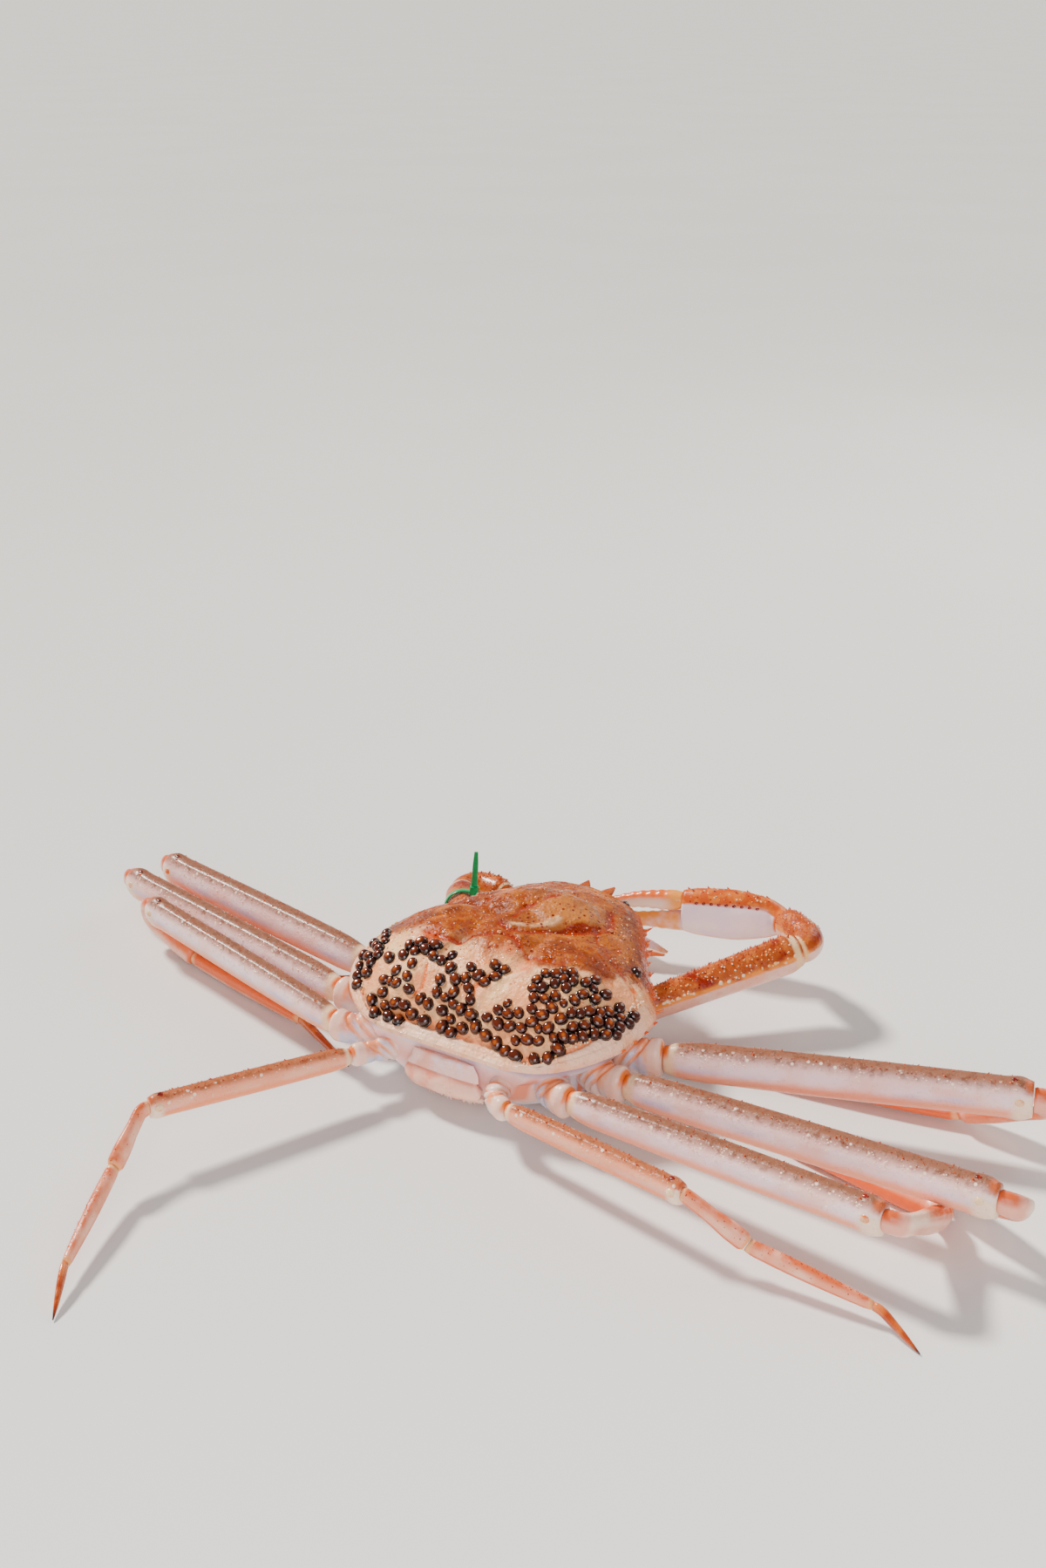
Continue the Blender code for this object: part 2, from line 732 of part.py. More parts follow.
# Rows of spines on a limb: angle from its upper edge towards the rear, first and last
# share of its length, number, radius and height
LEG_SPINES = [(24, 0.08, 0.94, 6, 0.0006, 0.0009), (-24, 0.14, 0.88, 5, 0.0006, 0.0009)]
CLAW_SPINES = {
    "merus": [(0, 0.18, 0.95, 5, 0.0008, 0.0016), (70, 0.12, 0.92, 6, 0.0008, 0.0010)],
    "carpus": [(10, 0.35, 0.92, 4, 0.0008, 0.0015), (60, 0.40, 0.90, 3, 0.0008, 0.0012)],
    "palm": [(8, 0.22, 0.95, 5, 0.0008, 0.0012), (-14, 0.30, 0.90, 4, 0.0008, 0.0010)],
}

LEG_COLOURS = {
    "coxa": (0.78, 0.66, 0.64),
    "merus": (0.72, 0.52, 0.47),
    "carpus": (0.76, 0.50, 0.42),
    "propodus": (0.70, 0.36, 0.22),
    "dactyl": (0.48, 0.22, 0.08),
}


def build_coxa(name, side, inner, outer, way, half_depth):
    """Short root of a limb, on an easy curve from inside the body wall to the merus."""
    sign = side_sign(side)
    start = Vector((sign * inner[0], inner[1], inner[2]))
    end = Vector((sign * outer[0], outer[1], outer[2])) - way * GAP
    corner = end - way * ((end - start).length * 0.5)
    upward = Vector((0, 0, 1))
    shape = [(0.0, 0.90, 0.98), (0.30, 0.95, 1.02), (0.52, 0.88, 0.96), (0.60, 0.74, 0.84),
             (0.70, 0.80, 0.92), (0.93, 0.78, 0.96), (1.0, 0.62, 0.80)]
    stations = []
    for share, breadth, depth in shape:
        first = start.lerp(corner, share)
        second = corner.lerp(end, share)
        along = (second - first).normalized()
        stations.append((first.lerp(second, share), along, upward, half_depth * breadth,
                         half_depth * depth))
    body = loft(name, stations, 12)
    apply_boolean(body, "DIFFERENCE", [build_underside("trim", GAP)])
    finish_piece(body, LEG_COLOURS["coxa"])


def resting_climb(side, pose, start, old_way, lengths, rest_height):
    """Climb of the carpus that brings the propodus down to its resting height."""
    best = None
    for step in range(240):
        climb = -0.25 * step
        carpus_way = heading(side, pose["carpus"][0], climb)
        carpus = bent_path(start + old_way * GAP, old_way, carpus_way, KNEE_TURN,
                           lengths["carpus"], (1.0,))
        propodus = bent_path(carpus[-1][0], carpus_way, heading(side, *pose["propodus"]),
                             SOFT_TURN, lengths["propodus"], (1.0,))
        miss = abs(propodus[-1][0].z - rest_height)
        if best is None or miss < best[0]:
            best = (miss, climb)
    return best[1]


def build_leg(side, index):
    pose = dict(LEG_POSE[side][index])
    half_depth = MERUS_HALF_DEPTH[index]
    prefix = "leg_%s_%d_" % (side, index + 1)
    root = LEG_ROOT[index]
    point = Vector((side_sign(side) * root[0], root[1], root[2]))
    merus = MERUS_LENGTH[index]
    lengths = {
        "merus": merus,
        "carpus": merus * CARPUS_SHARE[index],
        "propodus": merus * PROPODUS_SHARE[index],
        "dactyl": merus * DACTYL_SHARE[index],
    }
    turns = {"merus": SOFT_TURN, "carpus": KNEE_TURN, "propodus": SOFT_TURN,
             "dactyl": SOFT_TURN}
    way = heading(side, *pose["merus"])
    if pose["carpus"][1] is None:
        rest_height = max(leg_profile(half_depth, "propodus")[2]) * FLAT_EDGE
        climb = resting_climb(side, pose, point + way * merus, way, lengths, rest_height)
        pose["carpus"] = (pose["carpus"][0], climb)
    ways = {piece: heading(side, *pose[piece]) for piece in pose}
    build_coxa(prefix + "coxa", side, COXA_ROOT[index], root, way, half_depth)
    upward = Vector((0, 0, 1))
    for piece in ("merus", "carpus", "propodus", "dactyl"):
        body, stations = limb_piece(
            prefix + piece, point, way, ways[piece], turns[piece], lengths[piece],
            leg_profile(half_depth, piece), upward)
        point, way, upward = stations[-1][:3]
        if piece == "merus":
            add_spines(body, side, stations, LEG_SPINES)
        finish_piece(body, LEG_COLOURS[piece])


CLAW_COLOURS = {
    "coxa": (0.80, 0.62, 0.52),
    "merus": (0.72, 0.40, 0.22),
    "carpus": (0.74, 0.38, 0.18),
    "palm": (0.80, 0.55, 0.42),
    "dactyl": (0.85, 0.62, 0.42),
}


def build_claw(side):
    pose = CLAW_POSE[side]
    prefix = "claw_%s_" % side
    ways = {piece: heading(side, *pose[piece]) for piece in pose}
    sign = side_sign(side)
    build_coxa(prefix + "coxa", side, CLAW_COXA_ROOT, CLAW_ROOT, ways["merus"],
               CLAW_COXA_HALF_DEPTH)
    point = Vector((sign * CLAW_ROOT[0], CLAW_ROOT[1], CLAW_ROOT[2]))
    upward = Vector((0, 0, 1))
    profile = ([0.0, 0.05, 0.5, 0.92, 1.0],
               [0.0042, 0.0052, 0.0064, 0.0070, 0.0058],
               [0.0052, 0.0062, 0.0070, 0.0076, 0.0062])
    body, stations = limb_piece(prefix + "merus", point, ways["merus"], ways["merus"],
                                SOFT_TURN, CLAW_MERUS_LENGTH, profile, upward)
    if side == "left":
        build_tag(point, ways["merus"], profile)
    else:
        add_spines(body, side, stations, CLAW_SPINES["merus"])
    point, way, upward = stations[-1][:3]
    finish_piece(body, CLAW_COLOURS["merus"])
    profile = ([0.0, 0.12, 0.45, 0.85, 1.0],
               [0.0050, 0.0056, 0.0062, 0.0062, 0.0046],
               [0.0054, 0.0060, 0.0068, 0.0072, 0.0052])
    body, stations = limb_piece(prefix + "carpus", point, way, ways["carpus"], CLAW_TURN,
                                CLAW_CARPUS_LENGTH, profile, upward)
    point, way, upward = stations[-1][:3]
    add_spines(body, side, stations, CLAW_SPINES["carpus"])
    finish_piece(body, CLAW_COLOURS["carpus"])
    build_palm(prefix, side, point, way, ways["palm"], ways["fingers"])


def build_palm(prefix, side, point, old_way, palm_way, finger_way):
    """Palm with its fixed finger, and the movable finger above it."""
    upward = Vector((0, 0, 1))
    depth, breadth = PALM_HALF_DEPTH, PALM_HALF_BREADTH
    if side == "left":
        upward = palm_way.cross(Vector((0, 0, 1))).normalized()
    profile = ([0.0, 0.06, 0.22, 0.55, 0.85, 1.0],
               [0.0040, 0.0048, 0.72 * breadth, breadth, 0.92 * breadth, 0.76 * breadth],
               [0.0044, 0.0054, 0.80 * depth, depth, 0.94 * depth, 0.82 * depth])
    palm, stations = limb_piece(prefix + "palm", point, old_way, palm_way, SOFT_TURN,
                                PALM_LENGTH, profile, upward)
    point, way, upright_way = stations[-1][:3]
    lower = point - upright_way * (depth * 0.42)
    upper = point + upright_way * (depth * 0.40)
    fixed = []
    for share, breadth_share, depth_share, lift in (
            (-0.10, 0.60, 0.42, 0.0), (0.05, 0.56, 0.40, 0.0), (0.40, 0.42, 0.30, 0.02),
            (0.75, 0.28, 0.20, 0.10), (1.0, 0.08, 0.06, 0.22)):
        centre = (lower + finger_way * (FINGER_LENGTH * share)
                  + upright_way * (depth * lift))
        fixed.append((centre, finger_way, upright_way, breadth * breadth_share,
                      depth * depth_share))
    apply_boolean(palm, "UNION", [loft(prefix + "fixed_finger", fixed, 10)])
    add_spines(palm, side, stations, CLAW_SPINES["palm"])
    finish_piece(palm, CLAW_COLOURS["palm"])
    moving = []
    start = upper + way * GAP
    for share, breadth_share, depth_share, lift in (
            (0.0, 0.50, 0.32, 0.0), (0.10, 0.56, 0.40, 0.0), (0.40, 0.44, 0.34, 0.02),
            (0.75, 0.28, 0.24, -0.12), (1.0, 0.08, 0.07, -0.36)):
        along = way if share == 0.0 else finger_way
        centre = (start + finger_way * (FINGER_LENGTH * share)
                  + upright_way * (depth * lift))
        moving.append((centre, along, upright_way, breadth * breadth_share,
                       depth * depth_share))
    finger = loft(prefix + "dactyl", moving, 10)
    finish_piece(finger, CLAW_COLOURS["dactyl"])


# Head pieces


def build_eye(side):
    """Short stalk with its round eye, in the notch beside the rostrum."""
    sign = side_sign(side)
    front = place_to_y(FRONT_PLACE)
    height = rim_at(front) + RIM_THICK + 0.0012
    way = Vector((sign * 0.50, 0.86, 0.10)).normalized()
    start = Vector((sign * 0.0128, front + GAP, height))
    upward = Vector((0, 0, 1))
    stations = [
        (start, Vector((0, 1, 0)), upward, 0.0015, 0.0014),
        (start + way * 0.0018, way, upward, 0.0014, 0.0014),
        (start + way * 0.0030, way, upward, 0.0018, 0.0018),
        (start + way * 0.0044, way, upward, 0.0022, 0.0022),
        (start + way * 0.0058, way, upward, 0.0018, 0.0018),
        (start + way * 0.0064, way, upward, 0.0009, 0.0009),
    ]
    finish_piece(loft("eye_" + side, stations, 12), (0.05, 0.03, 0.03), 0.15)


def build_antenna(side):
    sign = side_sign(side)
    front = place_to_y(FRONT_PLACE)
    start = Vector((sign * 0.0105, front + GAP, rim_at(front) - 0.0030))
    way = Vector((sign * 0.20, 0.97, 0.02)).normalized()
    upward = Vector((0, 0, 1))
    stations = [
        (start, Vector((0, 1, 0)), upward, 0.0014, 0.0013),
        (start + way * 0.0040, way, upward, 0.0013, 0.0012),
        (start + way * 0.0046, way, upward, 0.0008, 0.0008),
        (start + way * 0.0090, way, upward, 0.0006, 0.0006),
        (start + way * 0.0140, way, upward, 0.0003, 0.0003),
    ]
    finish_piece(loft("antenna_" + side, stations, 8), (0.62, 0.36, 0.22))


def build_maxilliped(side):
    """Outer mouthpart: an upright plate in front of the mouth."""
    sign = side_sign(side)
    front = place_to_y(FRONT_PLACE) + GAP
    upward = Vector((0, 1, 0))
    rows = [(0.0135, 0.0026, 0.0012), (0.0145, 0.0042, 0.0020), (0.0200, 0.0046, 0.0024),
            (0.0255, 0.0042, 0.0020), (0.0275, 0.0028, 0.0012)]
    stations = [(Vector((sign * 0.0050, front + 0.0026, height)), Vector((0, 0, 1)), upward,
                 breadth, depth) for height, breadth, depth in rows]
    finish_piece(loft("maxilliped_" + side, stations, 10), (0.80, 0.62, 0.52))


# Tag


def build_tag(root, along, profile):
    """Thin plastic strap round the left claw's merus, with its tail standing up."""
    places, breadths, depths = profile
    upward = Vector((0, 0, 1))
    centre = root + along * (CLAW_MERUS_LENGTH * TAG_PLACE)
    reach = TAG_HALF_WIDTH / CLAW_MERUS_LENGTH
    breadth = float(np.interp(TAG_PLACE + reach, places, breadths)) + 2 * GAP
    depth = float(np.interp(TAG_PLACE + reach, places, depths)) + 2 * GAP
    sides = 12
    points = []
    for offset, extra in ((-TAG_HALF_WIDTH, 0.0), (-TAG_HALF_WIDTH, TAG_THICK),
                          (TAG_HALF_WIDTH, TAG_THICK), (TAG_HALF_WIDTH, 0.0)):
        points.extend(ring_points(centre + along * offset, along, upward,
                                  breadth + extra, depth + extra, sides))
    faces = []
    for ring in range(4):
        low = ring * sides
        high = (ring + 1) % 4 * sides
        for index in range(sides):
            following = (index + 1) % sides
            faces.append((low + index, low + following, high + following, high + index))
    strap = add_object("tag_strap", points, faces)
    across = along.cross(upward).normalized()
    foot = centre + across * (breadth * 0.62) + upward * (depth * 0.80)
    tail_way = Vector((0.05, 0.04, 1.0)).normalized()
    facing = tail_way.cross(across).normalized()
    lock = [(foot + tail_way * height, tail_way, facing, 0.0021, 0.0017)
            for height in (0.0008, 0.0042)]
    tail = [(foot + tail_way * height, tail_way, facing, breadth_share, 0.00045)
            for height, breadth_share in ((0.0015, 0.0013), (0.0120, 0.0013),
                                          (TAG_TAIL, 0.0010))]
    apply_boolean(strap, "UNION", [loft("tag_lock", lock, 8), loft("tag_tail", tail, 8)])
    finish_piece(strap, (0.10, 0.55, 0.38), 0.35)


def rest_on_origin():
    """Move every piece so that the origin is at the middle of the footprint."""
    low = Vector((math.inf, math.inf, math.inf))
    high = -low
    for body in bpy.context.scene.objects:
        for vert in body.data.vertices:
            for axis in range(3):
                low[axis] = min(low[axis], vert.co[axis])
                high[axis] = max(high[axis], vert.co[axis])
    shift = Vector((-(low.x + high.x) / 2, -(low.y + high.y) / 2, -low.z))
    for body in bpy.context.scene.objects:
        body.data.transform(Matrix.Translation(shift))


def main():
    clear_scene()
    build_carapace()
    body = build_underside()
    abdomen = build_abdomen()
    apply_boolean(body, "DIFFERENCE", [build_abdomen("abdomen_trim", GAP)])
    finish_piece(body, (0.82, 0.72, 0.70))
    finish_piece(abdomen, (0.82, 0.66, 0.62))
    for side in ("left", "right"):
        for index in range(4):
            build_leg(side, index)
        build_claw(side)
        build_eye(side)
        build_antenna(side)
        build_maxilliped(side)
    rest_on_origin()


main()
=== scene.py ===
"""Snow crab lying on its belly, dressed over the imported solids.

Every form is worked out in the crab's own frame, with its origin on the floor under the
middle of the carapace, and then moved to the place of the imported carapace. Lengths are in
metres and angles in degrees, unless a comment says otherwise.
"""

import math
import random

import bpy
import numpy as np
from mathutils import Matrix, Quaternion, Vector, noise


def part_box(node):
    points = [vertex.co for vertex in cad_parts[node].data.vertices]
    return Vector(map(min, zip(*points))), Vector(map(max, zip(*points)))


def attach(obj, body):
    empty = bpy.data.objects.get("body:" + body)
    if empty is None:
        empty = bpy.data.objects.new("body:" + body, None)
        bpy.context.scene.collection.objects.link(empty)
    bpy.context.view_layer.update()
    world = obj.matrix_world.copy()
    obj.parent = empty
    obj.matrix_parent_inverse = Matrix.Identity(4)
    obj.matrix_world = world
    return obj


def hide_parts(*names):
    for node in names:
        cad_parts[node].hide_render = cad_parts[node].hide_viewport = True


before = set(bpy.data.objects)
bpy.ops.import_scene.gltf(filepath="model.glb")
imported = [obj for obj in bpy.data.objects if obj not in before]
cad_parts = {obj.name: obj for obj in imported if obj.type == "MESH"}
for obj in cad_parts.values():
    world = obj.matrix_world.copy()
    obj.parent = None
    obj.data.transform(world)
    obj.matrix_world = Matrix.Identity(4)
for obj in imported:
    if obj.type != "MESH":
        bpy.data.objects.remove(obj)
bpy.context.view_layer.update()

SEED = 7
UP = Vector((0, 0, 1))
AHEAD = Vector((0, 1, 0))
RIGHT = Vector((1, 0, 0))
SIGN = {"left": -1.0, "right": 1.0}

# Driving sizes, as in the solids
CARAPACE_WIDTH = 0.1155
CARAPACE_LENGTH = 0.99 * CARAPACE_WIDTH
RIM_HEIGHT = 0.027
DOME_HEIGHT = 0.183 * CARAPACE_WIDTH
RIM_THICK = 0.0016
GAP = 0.0003
KNEE_TURN = 0.0052
CLAW_TURN = 0.0066
SOFT_TURN = 0.0100
FLAT_EDGE = math.cos(math.pi / 12)

# Legs from front to rear: length, shares of it in the other segments, roots and poses. A
# pose is a bearing and a climb for each segment. A carpus without a climb comes down until
# the next segment rests on the floor.
LEG_PIECES = ("merus", "carpus", "propodus", "dactyl")
MERUS_LENGTH = [share * CARAPACE_WIDTH for share in (1.07, 1.12, 1.00, 0.63)]
SEGMENT_SHARES = [(0.34, 0.57, 0.32)] * 3 + [(0.33, 0.56, 0.26)]
MERUS_HALF_DEPTH = [0.0075, 0.0069, 0.0064, 0.0044]
LEG_FLATNESS = 0.72
LEG_ROOT = [(0.0635, -0.0070, 0.0175), (0.0600, -0.0288, 0.0175),
            (0.0485, -0.0470, 0.0175), (0.0322, -0.0608, 0.0165)]
COXA_ROOT = [(0.0430, -0.0060, 0.0140), (0.0415, -0.0205, 0.0140),
             (0.0345, -0.0335, 0.0140), (0.0215, -0.0415, 0.0140)]
LEG_POSE = {
    "right": [((15, 3), (176, None), (190, 0), (194, 0)),
              ((-2, 3), (150, None), (174, 0), (186, 0)),
              ((-7, 4), (85, None), (171, 0), (175, 0)),
              ((-11, 3), (-1, -24), (0, -7), (-24, -17))],
    "left": [((12, -1), (180, None), (191, 0), (142, 0)),
             ((12, 0), (178, None), (191, 0), (142, 0)),
             ((14, 1), (191, None), (193, 0), (206, 0)),
             ((-61, 3), (-104, -24), (-112, -7), (-122, -17))],
}
# Places along a leg segment, and its half depth there as a share of the merus's
LEG_PROFILES = {
    "merus": ([0.0, 0.04, 0.12, 0.50, 0.92, 0.965, 1.0],
              [0.66, 0.86, 0.97, 1.02, 0.99, 1.05, 0.86]),
    "carpus": ([0.0, 0.10, 0.40, 0.76, 0.94, 1.0], [0.62, 0.64, 0.66, 0.82, 0.80, 0.60]),
    "propodus": ([0.0, 0.06, 0.30, 0.94, 1.0], [0.56, 0.62, 0.66, 0.45, 0.36]),
    "dactyl": ([0.0, 0.12, 0.55, 0.85, 1.0], [0.36, 0.38, 0.30, 0.16, 0.06]),
}
# Places along a coxa, and its half breadth and half depth there as shares of the next
# segment's half depth
COXA_PROFILE = ([0.0, 0.30, 0.52, 0.60, 0.70, 0.93, 1.0],
                [0.90, 0.95, 0.88, 0.74, 0.80, 0.78, 0.62],
                [0.98, 1.02, 0.96, 0.84, 0.92, 0.96, 0.80])
# Creases round a coxa: share along it, slant with height, depth and width
COXA_CREASES = [(0.30, 0.14, 0.09, 0.034), (0.46, 0.20, 0.12, 0.030),
                (0.62, 0.22, 0.15, 0.028)]

# Claws: roots, lengths, and the poses of merus, carpus, palm and fingers
CLAW_ROOT = (0.0368, 0.0208, 0.0138)
CLAW_COXA_ROOT = (0.0205, 0.0085, 0.0125)
CLAW_COXA_HALF_DEPTH = 0.0070
CLAW_MERUS_LENGTH = 0.585 * CARAPACE_WIDTH
CLAW_CARPUS_LENGTH = 0.234 * CARAPACE_WIDTH
PALM_LENGTH = 0.37 * CARAPACE_WIDTH
FINGER_LENGTH = 0.32 * CARAPACE_WIDTH
PALM_HALF_DEPTH = 0.0104
PALM_HALF_BREADTH = 0.0070
CLAW_POSE = {"right": ((50, 11), (140, -8), (196, -2), (193, -8)),
             "left": ((56, -6), (196, 3), (188, 0), (184, 0))}
CLAW_MERUS_PROFILE = ([0.0, 0.05, 0.5, 0.92, 1.0],
                      [0.0042, 0.0052, 0.0064, 0.0070, 0.0058],
                      [0.0052, 0.0062, 0.0070, 0.0076, 0.0062])
CLAW_CARPUS_PROFILE = ([0.0, 0.12, 0.45, 0.85, 1.0],
                       [0.0050, 0.0056, 0.0062, 0.0062, 0.0046],
                       [0.0054, 0.0060, 0.0068, 0.0072, 0.0052])
# Fingers: places, then half breadth, half depth and lift there as shares of the palm's
LOWER_FINGER = ([-0.10, 0.05, 0.40, 0.75, 1.0], [0.60, 0.56, 0.42, 0.28, 0.08],
                [0.42, 0.40, 0.30, 0.20, 0.06], [0.0, 0.0, 0.02, 0.10, 0.22])
UPPER_FINGER = ([0.0, 0.10, 0.40, 0.75, 1.0], [0.50, 0.56, 0.44, 0.28, 0.08],
                [0.32, 0.40, 0.34, 0.24, 0.07], [0.0, 0.0, 0.02, -0.12, -0.36])
TAG_PLACE = 0.74
TAG_HALF_WIDTH = 0.0013
TAG_THICK = 0.0008
TAG_TAIL = 0.0200

# Rows of spines: angle round the limb, first and last share, number, radius and height
LEG_SPINES = [(24, 0.08, 0.94, 6, 0.0006, 0.0009), (-24, 0.14, 0.88, 5, 0.0006, 0.0009)]
CLAW_SPINES = {
    "merus": [(0, 0.18, 0.95, 5, 0.0008, 0.0016)],
    "carpus": [(10, 0.35, 0.92, 4, 0.0008, 0.0015), (60, 0.40, 0.90, 3, 0.0008, 0.0012)],
    "palm": [(8, 0.22, 0.95, 5, 0.0008, 0.0012), (-14, 0.30, 0.90, 4, 0.0008, 0.0010)],
}
# Small forms of the limbs that share a piece: its name and slot
SMALL_PIECES = {"thorn": ("limb_spinules", "leg_merus"),
                "pearl": ("leg_pearls", "leg_merus"),
                "granule": ("claw_granules", "claw_arm"),
                "dot": ("dark_dots", "claw_palm"),
                "condyle": ("leg_condyles", "leg_merus")}

# Carapace: places from rear to front, with its outline, dome and rim there
MIDDLE_PLACE = 0.45
OUTLINE_PLACE = [0.0, 0.03, 0.08, 0.15, 0.25, 0.40, 0.55, 0.68, 0.80, 0.885]
OUTLINE_HALF = [0.212, 0.310, 0.384, 0.446, 0.489, 0.500, 0.428, 0.342, 0.274, 0.212]
DOME_PLACE = [0.0, 0.035, 0.09, 0.18, 0.32, 0.50, 0.66, 0.80, 0.885]
DOME_SHARE = [0.0, 0.10, 0.42, 0.74, 0.97, 1.00, 0.88, 0.62, 0.40]
RIM_PLACE = [0.0, 0.20, 0.55, 1.0]
RIM_RISE = [-0.0025, 0.0, 0.0, 0.0080]
FRONT_PLACE = OUTLINE_PLACE[-1]
REAR_WALL_PLACE = OUTLINE_PLACE[1]
BEAD_HEIGHT = 0.0009
BEAD_INSET = 0.0022
BEAD_SPREAD = 0.0013
# Lobes and hollows as shares of the width: sideways, forward, reach both ways, rise
RELIEF = [(0.000, 0.200, 0.120, 0.100, 0.024), (0.085, 0.165, 0.070, 0.070, 0.012),
          (0.000, -0.150, 0.075, 0.100, 0.016), (0.270, -0.110, 0.140, 0.170, 0.024),
          (0.270, 0.200, 0.090, 0.080, 0.012), (0.130, 0.055, 0.055, 0.030, -0.022),
          (0.250, 0.085, 0.080, 0.028, -0.020), (0.115, -0.130, 0.026, 0.110, -0.020)]
# Fine folds in millimetres: half width, height, and the points they run through
FOLDS = [
    (1.8, 0.50, [(-2.3, -2.3), (5.3, 0.3), (11.4, 8.7)]),
    (1.5, -0.70, [(-6, -3), (-1, -5.6), (7, -3), (14, 5.5), (20, 12)]),
    (1.5, -0.60, [(-4.4, 4.3), (-4.5, 10.7), (4, 21.5)]),
    (1.8, -0.60, [(18.7, 8.7), (27.4, 19), (20, 33)]),
    (0.8, -0.35, [(-18.7, -31.6), (-17.1, -35.7), (-16.5, -39), (-18.2, -41)]),
    (2.6, 0.50, [(-25.4, -32.8), (-23.8, -38.1), (-26.8, -42.1)]),
    (1.4, 0.45, [(7, -40.7), (6.6, -37.1), (9.3, -32.8), (13, -27.3), (16.9, -25.1)]),
    (1.2, -0.30, [(3.6, -40), (3.2, -35), (6, -30), (10.4, -25)]),
    (1.5, -0.55, [(-28, -19), (-19.2, -20.4), (-11.9, -17.8), (-6.5, -14.2), (-1, -10.3),
                  (4.4, -10.3), (10, -14.5), (19, -17), (27, -15)]),
    (1.5, -0.40, [(-48, -6), (-36, -1), (-26, 6), (-20, 16)]),
    (1.5, -0.40, [(49, -4), (38, 0), (28, 7), (24, 16)]),
]
# Raised parts in millimetres: sideways, forward, reach, soft edge and height
SWELLINGS = [(11, 17, 11, 5, 1.6), (-13, 19, 8, 5, 0.5), (-25, -35, 6, 4, 0.6),
             (24, -34, 14, 6, 0.5), (-6, -14, 6, 4, 0.4), (30, 4, 9, 6, 0.5),
             (-32, 4, 9, 6, 0.5), (2, -33, 7, 5, 0.4)]
# Border between the brown front and the pale rear, in millimetres
BORDER_X = [-58, -45, -30, -19.6, 0.5, 13.3, 30.4, 41.7, 48.5, 58]
BORDER_Y = [-15, -17, -20, -24.0, -21.0, -19.0, -17.5, -7.3, 2, 8]
# Pale lobes and ochre patches: sideways, forward and reach in millimetres
PALE_SPOTS = [(-25, -37, 6), (10, -31, 5), (-12, -22, 5), (-36, -27, 6), (9, -20, 5)]
OCHRE_SPOTS = [(-18, -37, 3), (6, -34, 3), (7, -18, 4), (-24, -22, 4), (16, -22, 4)]
# Rolled rim: inset, half width and depth of its groove; inset, half width and share of
# that depth of its line
GROOVE_INSET, GROOVE_HALF, GROOVE_DEEP = 0.0048, 0.0008, 0.0008
LINE_INSET, LINE_HALF, LINE_SHARE = 0.0018, 0.00045, 0.7

# Margin spines: place and height
MARGIN_SPINES = [(0.845, 0.0030), (0.800, 0.0016), (0.755, 0.0020), (0.705, 0.0014),
                 (0.655, 0.0018), (0.600, 0.0013), (0.545, 0.0016), (0.475, 0.0026),
                 (0.420, 0.0012), (0.360, 0.0014), (0.300, 0.0011), (0.240, 0.0012)]
SPINE_RADIUS = 0.0007
WART_RADIUS = 0.0009
# Oval patches: middle, half length, half breadth, turn and number of forms in it
WART_PATCHES = [(0.0, 0.0235, 0.0140, 0.0110, 0, 9),
                (0.0300, 0.0160, 0.0080, 0.0090, 0, 5),
                (-0.0300, 0.0160, 0.0080, 0.0090, 0, 5),
                (0.0, -0.0130, 0.0060, 0.0110, 0, 4)]
FINE_PATCHES = [(0.0, 0.022, 0.030, 0.024, 0, 180), (0.033, 0.010, 0.018, 0.018, 0, 110),
                (-0.033, 0.010, 0.018, 0.018, 0, 110), (0.0, -0.020, 0.048, 0.026, 0, 160)]
PEARL_PATCHES = [(0.0, 0.012, 0.046, 0.034, 0, 150)]
COCOON_HALF_LENGTH = 0.0022
COCOON_HALF_BREADTH = 0.0018
COCOON_HEIGHT = 0.0018
COCOON_SPACING = 0.0036
COCOON_PATCHES = [
    (0.0350, -0.0275, 0.0125, 0.0110, 0, 24), (0.0265, -0.0405, 0.0150, 0.0065, 5, 17),
    (0.0515, -0.0205, 0.0105, 0.0036, 74, 10), (0.0425, -0.0160, 0.0060, 0.0020, -10, 4),
    (-0.0010, -0.0385, 0.0105, 0.0048, 84, 13), (0.0060, -0.0300, 0.0070, 0.0032, 70, 6),
    (0.0090, -0.0445, 0.0080, 0.0024, -10, 5), (-0.0095, -0.0365, 0.0065, 0.0026, 70, 4),
    (-0.0165, -0.0450, 0.0105, 0.0030, 10, 8), (-0.0275, -0.0415, 0.0075, 0.0055, 40, 9),
    (-0.0270, -0.0275, 0.0095, 0.0022, 30, 7), (-0.0145, -0.0275, 0.0060, 0.0018, 20, 4),
    (-0.0250, -0.0345, 0.0045, 0.0026, 40, 4), (-0.0450, -0.0285, 0.0115, 0.0042, 98, 14),
    (0.0445, 0.0080, 0.0010, 0.0010, 0, 1),
]
# Crowded ones of those patches, by number, and the smaller cocoons that fill their gaps
CROWDED = [(0, 14), (1, 9), (2, 6), (4, 4), (13, 8), (9, 4)]
CROWDED_SPACING = 0.84 * COCOON_SPACING
CROWDED_INSET = 0.0062

# Underside: places from rear to front, with the tuck of the side, the height of the
# belly or the sole's share of the breadth there
TUCK = ([0.0, 0.15, 0.45, 0.65, 0.9], [0.004, 0.010, 0.012, 0.018, 0.008])
BELLY = ([0.0, 0.12, 0.3, 0.62, 0.8, 0.9], [0.0110, 0.0030, 0.0, 0.0, 0.0060, 0.0120])
SOLE = ([0.0, 0.2, 0.45, 0.7, 0.9], [0.55, 0.56, 0.52, 0.42, 0.62])
